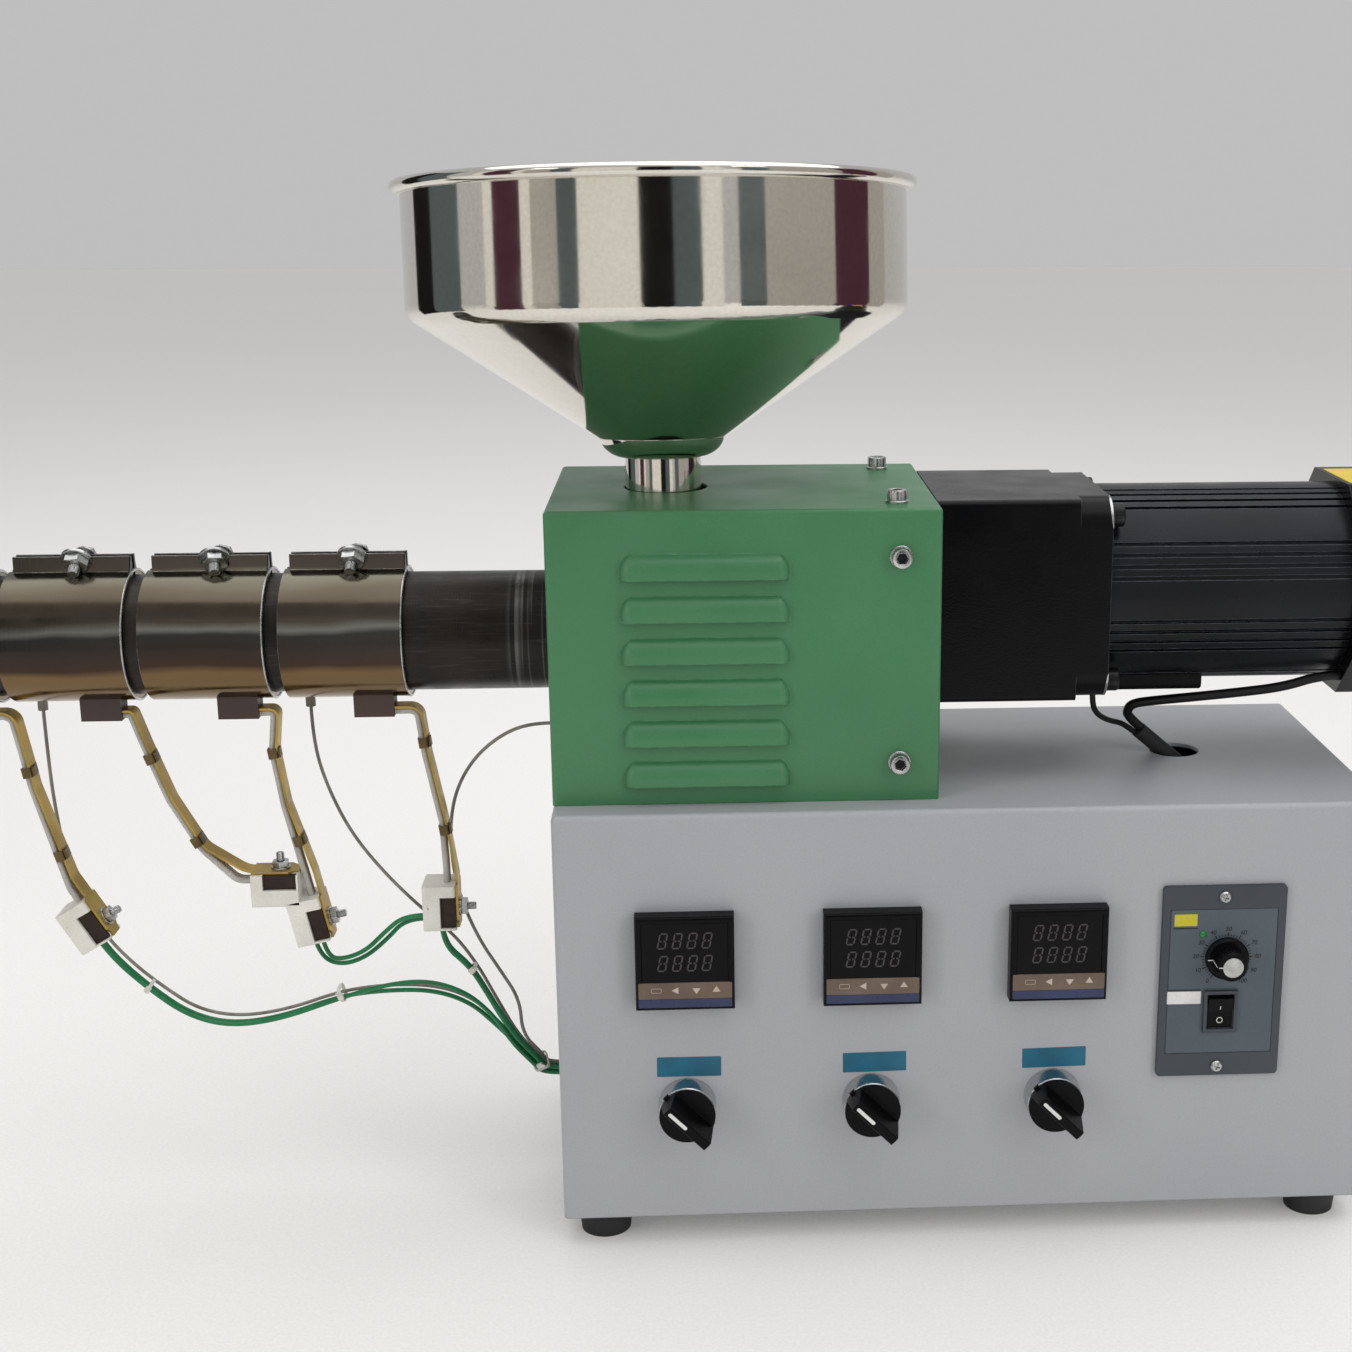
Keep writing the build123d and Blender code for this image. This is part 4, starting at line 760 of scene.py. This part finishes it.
def segment(shape, place, x, y, length, upright, thick=0.75):
    """One bar of a digit with pointed ends, slanted as the digits are."""
    half, tip = length / 2, thick / 2
    outline = [(-half, 0), (-half + tip, tip), (half - tip, tip), (half, 0), (half - tip, -tip),
               (-half + tip, -tip)]
    if upright:
        outline = [(b, a) for a, b in outline][::-1]
    slanted = [(x + a + (y + b) * 0.2, y + b) for a, b in outline]
    shape.flat(place, slanted, -0.05, 0.06)


for number, x in enumerate(CONTROLLER_XS, start=1):
    place = axes((x, GLASS_Y, CONTROLLER_Z), FRONT, UP)
    digits, arrows = Shape(), Shape()
    make_plate(f"controller_{number}_glass", display_glass, place, 41.8, 30.4, 0.45, 0.6, 0.15,
               middle=(0, 5.7))
    for row_y in DIGIT_ROWS:
        for column in range(4):
            digit_x = x + DIGIT_FIRST + column * DIGIT_PITCH
            digit = axes((digit_x, GLASS_Y - 0.46, CONTROLLER_Z + row_y), FRONT, UP)
            quarter = DIGIT_TALL / 4
            for sx, sy in ((-1.8, quarter), (1.8, quarter), (-1.8, -quarter), (1.8, -quarter)):
                segment(digits, digit, sx, sy, DIGIT_TALL / 2 - 0.45, True)
            for sy in (DIGIT_TALL / 2, 0, -DIGIT_TALL / 2):
                segment(digits, digit, 0, sy, 3.2, False)
            digits.skin(digit, rings(((-0.05, 0.45), (0.06, 0.45)), count=12))
    digits.make(f"controller_{number}_digits", dim_segment)
    make_plate(f"controller_{number}_keys", key_copper, place, 45.4, 8.4, 0.95, 0.5, 0.2,
               middle=(0, -13.7))
    for key_x, turn in ((-4.4, 0.5), (5.4, 1.0), (15.1, 0.0)):
        outline = []
        for corner in range(3):
            angle = math.pi * (0.5 + turn + corner * 2 / 3)
            outline.append((key_x + 2.2 * math.cos(angle), KEY_Y + 2.0 * math.sin(angle)))
        arrows.flat(place, outline, KEY_DEPTH, 1.03)
    hoop(arrows, place, KEY_DEPTH, 1.0, (5.0, 2.4, 0.6), (4.6, 2.0, 0.4), middle=(-14.0, KEY_Y))
    arrows.make(f"controller_{number}_arrows", key_mark)
    make_plate(f"controller_{number}_strip", strip_blue, place, 45.4, 4.5, 0.92, 0.4, 0.15,
               middle=(0, -20.15))

# Selector switches: the white line on each grip, and the plain tape above

SELECTOR_Z = 61.0
KNOB_TOP = -27.4
TAPE_Z = 81.4
# Each tape's left and right ends and its slant
TAPES = ((48.1, 79.7, 0.004), (140.0, 171.5, -0.012), (229.6, 261.5, -0.016))
diagonal = Vector((-math.sqrt(0.5), 0, math.sqrt(0.5)))
for number, x in enumerate(CONTROLLER_XS, start=1):
    place = axes(Vector((x, KNOB_TOP, SELECTOR_Z)) + diagonal * 6.4, FRONT, diagonal)
    make_plate(f"selector_{number}_line", white_ink, place, 1.8, 12.0, 0.12, 0.85, 0.04,
               low=-0.04, body=f"selector_knob_{number}")
for number, (left, right, turn) in enumerate(TAPES, start=1):
    place = axes(((left + right) / 2, 0, TAPE_Z), FRONT, (turn, 0, 1))
    make_plate(f"selector_{number}_tape", teal_tape, place, right - left, 10.4, 0.22, 0.4, 0.08)

# Speed unit

SPEED_X, SPEED_Z = 327.6, 120.8
UNIT_LEFT, UNIT_TOP = SPEED_X - 30.75, SPEED_Z + 50.25
UNIT_Y, FACE_Y = -2.5, -2.4
DIAL_X, DIAL_Z = 329.6, 133.5
place = axes((SPEED_X, -2.05, SPEED_Z), FRONT, UP)
make_plate("speed_unit_face", panel_blue, place, 53.2, 76.2, 0.35, 0.8, 0.15)

unit_screws = Shape()
for x, z in ((SPEED_X - 0.2, SPEED_Z + 44.6), (SPEED_X - 0.3, SPEED_Z - 45.2)):
    place = axes((x, UNIT_Y, z), FRONT, (0.3, 0, 1))
    unit_screws.skin(place, rings(((-0.2, 3.1), (0.9, 3.0), (1.7, 2.3)), count=48)
                     + rings(((1.9, 1.6), (0.7, 1.4)), "cross", 48))
unit_screws.make("speed_unit_screws", bright_zinc)

ticks = Shape()
dial = axes((DIAL_X, FACE_Y, DIAL_Z), FRONT, UP)
DIAL_START, DIAL_SPREAD = 234.5, 2.915


def dial_angle(value):
    return math.radians(DIAL_START - DIAL_SPREAD * value)


for step in range(41):
    angle = dial_angle(step * 2.5)
    reach, wide = (13.2, 0.34) if step % 4 == 0 else (12.4, 0.2)
    along = Vector((math.cos(angle), math.sin(angle)))
    across = Vector((-along.y, along.x)) * wide
    near, far = along * 11.3, along * reach
    ticks.flat(dial, (near + across, near - across, far - across, far + across), -0.05, 0.05)
ticks.make("speed_unit_ticks", ink)

for value in range(0, 101, 10):
    angle = dial_angle(value)
    words = bpy.data.curves.new(f"dial_{value}", "FONT")
    words.body = str(value)
    words.size = 3.1
    words.offset = 0.04
    words.extrude = 0.03
    words.shear = 0.15
    words.align_x = "CENTER"
    words.align_y = "CENTER"
    words.materials.append(ink)
    figure = add_object(f"dial_{value}", words)
    figure.matrix_world = dial @ Matrix.Translation((15.6 * math.cos(angle), 15.0 * math.sin(angle), 0.03))
    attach(figure, MACHINE)


def on_unit(across, down, up=UP):
    """A place on the unit's face, measured from its upper left corner."""
    return axes((UNIT_LEFT + across, FACE_Y, UNIT_TOP - down), FRONT, up)


unit_lamp, rules = Shape(), Shape()
lamp_place = axes((317.2, FACE_Y, 146.0), FRONT, UP)
unit_lamp.skin(lamp_place, rings(((-0.2, 1.9), (0.3, 1.8), (0.9, 1.4), (1.3, 0.8), (1.4, 0.2))))
unit_lamp.make("speed_unit_lamp", lamp_green)
make_plate("speed_unit_yellow", yellow_film, on_unit(11.6, 17.5), 11.4, 6.2, 0.1, 0.4, 0.03)
place = on_unit(12.4, 58.5, (0.01, 0, 1))
make_plate("speed_unit_sticker", paper_white, place, 17.0, 6.6, 0.14, 0.3, 0.05)
for across, down, length in ((11.6, 21.8, 12.6), (12.4, 54.4, 16.6)):
    plate(rules, on_unit(across, down), length, 0.7, 0.06, 0.15, 0.02, low=-0.02)
rules.make("speed_unit_rules", ink)

# The rocker's line and ring, on the two faces that meet in its valley

ROCKER_Z = 105.3
ROCKER_TILT = math.radians(10.0)
ROCKER_VALLEY = -3.0
ROCKER_END, ROCKER_HALF = -4.2, 8.3


def rocker_point(depth, rise):
    """A point of the rocker's side outline, turned as it stands at rest."""
    cosine, sine = math.cos(ROCKER_TILT), math.sin(ROCKER_TILT)
    return Vector((SPEED_X, depth * cosine - rise * sine, ROCKER_Z + depth * sine + rise * cosine))


valley = rocker_point(ROCKER_VALLEY, 0.0)
rocker_marks = Shape()
rise_up = (rocker_point(ROCKER_END, ROCKER_HALF) - valley).normalized()
place = axes(valley + rise_up * 2.6, Vector((1, 0, 0)).cross(rise_up), rise_up)
plate(rocker_marks, place, 0.4, 2.2, 0.1, 0.12, 0.03, low=-0.04)
fall = (valley - rocker_point(ROCKER_END, -ROCKER_HALF)).normalized()
place = axes(valley - fall * 4.4, Vector((1, 0, 0)).cross(fall), fall)
rocker_marks.skin(place, rings(((-0.04, 1.6), (0.07, 1.6), (0.07, 1.25), (-0.04, 1.25))), closed=True)
rocker_marks.make("rocker_marks", white_ink, body="speed_rocker")

# The speed knob's metal disc and its silver line

UNIT_PROUD, KNOB_GAP, SKIRT_DEPTH, KNOB_DEPTH = 2.0, 0.6, 3.0, 13.0
KNOB_WALL = 7.5
knob_front = -UNIT_PROUD - KNOB_GAP - KNOB_DEPTH
skirt_front = -UNIT_PROUD - KNOB_GAP - SKIRT_DEPTH
knob_face = axes((DIAL_X, knob_front, DIAL_Z), FRONT, UP)
disc = Shape()
disc.skin(knob_face, rings(((-0.1, 5.1), (0.35, 5.1), (0.5, 4.9), (0.42, 4.4), (0.40, 0.3)), count=48))
disc.make("speed_knob_disc", bright_zinc, body="speed_knob")
pointer = Shape()
skirt = axes((DIAL_X, skirt_front, DIAL_Z), FRONT, UP)
pointer.skin(skirt, [box_ring(z, 2.6, 0.5, 0.2, middle=(-8.8, 0)) for z in (-0.05, 0.1)])
pointer.skin(knob_face, [box_ring(z, 2.0, 0.5, 0.2, middle=(-6.0, 0)) for z in (-0.05, 0.08)])
wall = axes((DIAL_X - KNOB_WALL, (knob_front + skirt_front) / 2, DIAL_Z), (-1, 0, 0), FRONT)
pointer.skin(wall, [box_ring(-0.1, 0.5, 8.2, 0.2), box_ring(0.12, 0.5, 8.2, 0.2)])
pointer.make("speed_knob_pointer", white_ink, body="speed_knob")

# Flutes round the speed knob's grip, all but where the line runs down it

FLUTES = 30
flutes = Shape()
for index in range(FLUTES):
    angle = 2 * math.pi * index / FLUTES
    if abs(angle - math.pi) < 0.2:
        continue
    side = Vector((math.cos(angle), 0, math.sin(angle)))
    origin = Vector((DIAL_X, skirt_front - 0.2, DIAL_Z)) + side * 7.45
    flutes.skin(axes(origin, FRONT, side), [box_ring(0, 0.7, 0.7, 0.3), box_ring(8.6, 0.7, 0.7, 0.3),
                                            box_ring(9.1, 0.3, 0.3, 0.1)])
flutes.make("speed_knob_flutes", looks["black_moulding"], body="speed_knob", slot="black_moulding")

# The plain yellow plate on the cowl's top flat

COWL_X, COWL_TOP = 396.0, 358.5
place = axes((COWL_X + 18.0, DRIVE_Y - 2.0, COWL_TOP), UP, (0, 1, 0))
make_plate("cowl_plate", yellow_plate, place, 32.0, 46.0, 0.3, 1.2, 0.1)

# A flat black box with rounded edges under the motor

UNDER_BOX_LEFT, UNDER_BOX_Z = 283.0, 259.6
under_box = Shape()
under_place = axes((UNDER_BOX_LEFT, DRIVE_Y, UNDER_BOX_Z), (1, 0, 0), UP)
under_box.skin(under_place, [box_ring(0.0, 45.0, 13.4, 2.4), box_ring(0.6, 46.2, 14.6, 3.0),
                           box_ring(44.4, 46.2, 14.6, 3.0), box_ring(45.0, 45.0, 13.4, 2.4)])
under_box.make("motor_under_box", looks["black_moulding"], slot="black_moulding")

# The bright machined edge round the flange's four corners, widest in the middle of each arc

EDGE_STEPS = 28
corner_away = FLANGE_HALF - FLANGE_CORNER
bright_edge = Shape()
for side_y, side_z in ((1, 1), (-1, 1), (-1, -1), (1, -1)):
    loops = []
    for step in range(EDGE_STEPS + 1):
        share = step / EDGE_STEPS
        angle = share * math.pi / 2
        wide = 0.15 + 1.0 * math.sin(share * math.pi) ** 0.6
        loop = []
        for right, reach in ((-wide, 0.1), (0.1, 0.1), (0.1, -wide), (-wide, -0.5)):
            radius = FLANGE_CORNER + reach
            loop.append((FLANGE_RIGHT + right,
                         DRIVE_Y + side_y * (corner_away + radius * math.sin(angle)),
                         GEARBOX_Z + side_z * (corner_away + radius * math.cos(angle))))
        loops.append(loop)
    bright_edge.skin(Matrix.Translation(CORNER) @ Matrix.Scale(MM, 4), loops)
bright_edge.make("flange_edge", bright_zinc)

# Studio: a pale floor, soft lamps and the camera at the photograph's angle

# The horizon's paleness, which the camera, metal and glass see: it is kept out of the light on the object.
HAZE = 0.52
PLAIN_LIGHT = 0.5
FLOOR_GLOW = 0.12
floor_look = surface("floor_pale", (231, 229, 226), (229, 227, 224), (0.6, 0.7), blotch=0.6, grain=600,
                     bump=0.005, edge=0.1)


def seen_directly(tree):
    """One for rays from the camera, metal or glass, and nought for the light that falls on things."""
    rays = add_node(tree, "ShaderNodeLightPath").outputs
    both = maths(tree, "MAXIMUM", rays["Is Camera Ray"], rays["Is Glossy Ray"])
    return maths(tree, "MAXIMUM", both, rays["Is Transmission Ray"])


floor_tree = floor_look.node_tree
glow = remap(floor_tree, seen_directly(floor_tree), 0.0, FLOOR_GLOW, 0.0, 1.0)
floor_tree.links.new(glow, floor_tree.nodes["Principled BSDF"].inputs["Emission Strength"])
floor_tree.nodes["Principled BSDF"].inputs["Emission Color"].default_value = (1, 1, 1, 1)
FLOOR_HALF = 9.0
FLOOR_STEPS = 24
floor_mesh = bpy.data.meshes.new("floor")
floor_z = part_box("cabinet_feet")[0].z
marks = [-FLOOR_HALF + 2 * FLOOR_HALF * index / FLOOR_STEPS for index in range(FLOOR_STEPS + 1)]
grid = [(x, y, floor_z) for y in marks for x in marks]
row = FLOOR_STEPS + 1
cells = [(j * row + i, j * row + i + 1, (j + 1) * row + i + 1, (j + 1) * row + i)
         for j in range(FLOOR_STEPS) for i in range(FLOOR_STEPS)]
floor_mesh.from_pydata(grid, [], cells)
floor_mesh.materials.append(floor_look)
add_object("floor", floor_mesh)

world = bpy.data.worlds.new("studio")
bpy.context.scene.world = world
world.use_nodes = True
background = world.node_tree.nodes["Background"]
background.inputs["Color"].default_value = (0.995, 0.995, 1.0, 1)
sky = remap(world.node_tree, seen_directly(world.node_tree), PLAIN_LIGHT, HAZE, 0.0, 1.0)
world.node_tree.links.new(sky, background.inputs["Strength"])

# Studio boards round the table, which only the metal reflects: azimuths from the front, and a tone each.
BOARD_REACH = 1.35
BOARD_FOOT, BOARD_TOP = 0.002, 1.3
SOOT = (0.012, 0.011, 0.010)
SLATE = (0.10, 0.125, 0.13)
PLUM = (0.075, 0.03, 0.045)
CREAM = (0.82, 0.80, 0.74)
LINEN = (0.42, 0.40, 0.37)
BOARDS = ((-130, -113, SOOT), (-113, -92, SLATE), (-77, -72, CREAM), (-72, -58, PLUM), (-58, -53, CREAM),
          (-53, -41, LINEN), (-41, -32, SLATE), (-32, -6, CREAM), (-6, 8, SOOT), (8, 20, SLATE),
          (20, 29, CREAM), (36, 48, SLATE), (48, 84, LINEN), (84, 107, PLUM), (107, 121, LINEN))
centre = at(55.3, DRIVE_Y, 0)


def board(name, start, end, tone):
    """An upright strip of one tone, bent round the machine, that only glossy rays see."""
    sheet = bpy.data.materials.new(name)
    sheet.use_nodes = True
    sheet.node_tree.nodes.clear()
    light = add_node(sheet.node_tree, "ShaderNodeEmission", {"Color": (*tone, 1.0), "Strength": 1.0})
    out = add_node(sheet.node_tree, "ShaderNodeOutputMaterial")
    sheet.node_tree.links.new(light.outputs["Emission"], out.inputs["Surface"])
    steps = 8
    points, faces = [], []
    for step in range(steps + 1):
        angle = math.radians(start + (end - start) * step / steps)
        x = centre.x + BOARD_REACH * math.sin(angle)
        y = centre.y - BOARD_REACH * math.cos(angle)
        points += [(x, y, floor_z + BOARD_FOOT), (x, y, floor_z + BOARD_TOP)]
        if step:
            base = 2 * step
            faces.append((base - 2, base, base + 1, base - 1))
    mesh = bpy.data.meshes.new(name)
    mesh.from_pydata(points, [], faces)
    mesh.materials.append(sheet)
    panel = add_object(name, mesh)
    for ray in ("camera", "diffuse", "shadow", "transmission"):
        setattr(panel, "visible_" + ray, False)


for number, (start, end, tone) in enumerate(BOARDS):
    board(f"board_{number}", start, end, tone)


def softbox(name, spot, target, width, height, watts):
    lamp = bpy.data.lights.new(name, "AREA")
    lamp.shape = "RECTANGLE"
    lamp.size, lamp.size_y = width, height
    lamp.energy = watts
    holder = add_object(name, lamp)
    holder.location = spot
    holder.rotation_euler = (Vector(target) - Vector(spot)).to_track_quat("-Z", "Y").to_euler()


softbox("top_light", (0.2, 0.2, 2.4), (0.05, 0, 0.2), 3.6, 3.0, 44)
softbox("left_strip", (-1.9, -1.6, 1.2), (0, 0, 0.3), 0.5, 1.9, 12)
softbox("right_strip", (1.9, -1.9, 1.3), (0.1, 0, 0.3), 0.7, 1.9, 14)

SENSOR = 36.0
camera_data = bpy.data.cameras.new("photo_camera")
camera = add_object("photo_camera", camera_data)
bpy.context.scene.camera = camera
camera_data.sensor_width = SENSOR
camera_data.lens = CAMERA_FOCAL / PHOTO_WIDTH * SENSOR
camera_data.shift_x = CAMERA_SHIFT
camera_data.clip_start, camera_data.clip_end = 0.02, 50.0
yaw, pitch, roll = CAMERA_TURN
ahead = Vector((math.sin(yaw) * math.cos(pitch), math.cos(yaw) * math.cos(pitch), -math.sin(pitch)))
sideways = Vector((math.cos(yaw), -math.sin(yaw), 0))
upward = sideways.cross(ahead)
right = sideways * math.cos(roll) + upward * math.sin(roll)
above = upward * math.cos(roll) - sideways * math.sin(roll)
turn = Matrix((right, above, -ahead)).transposed().to_4x4()
camera.matrix_world = Matrix.Translation(at(*CAMERA_SPOT)) @ turn

bpy.context.scene.view_settings.view_transform = "Standard"
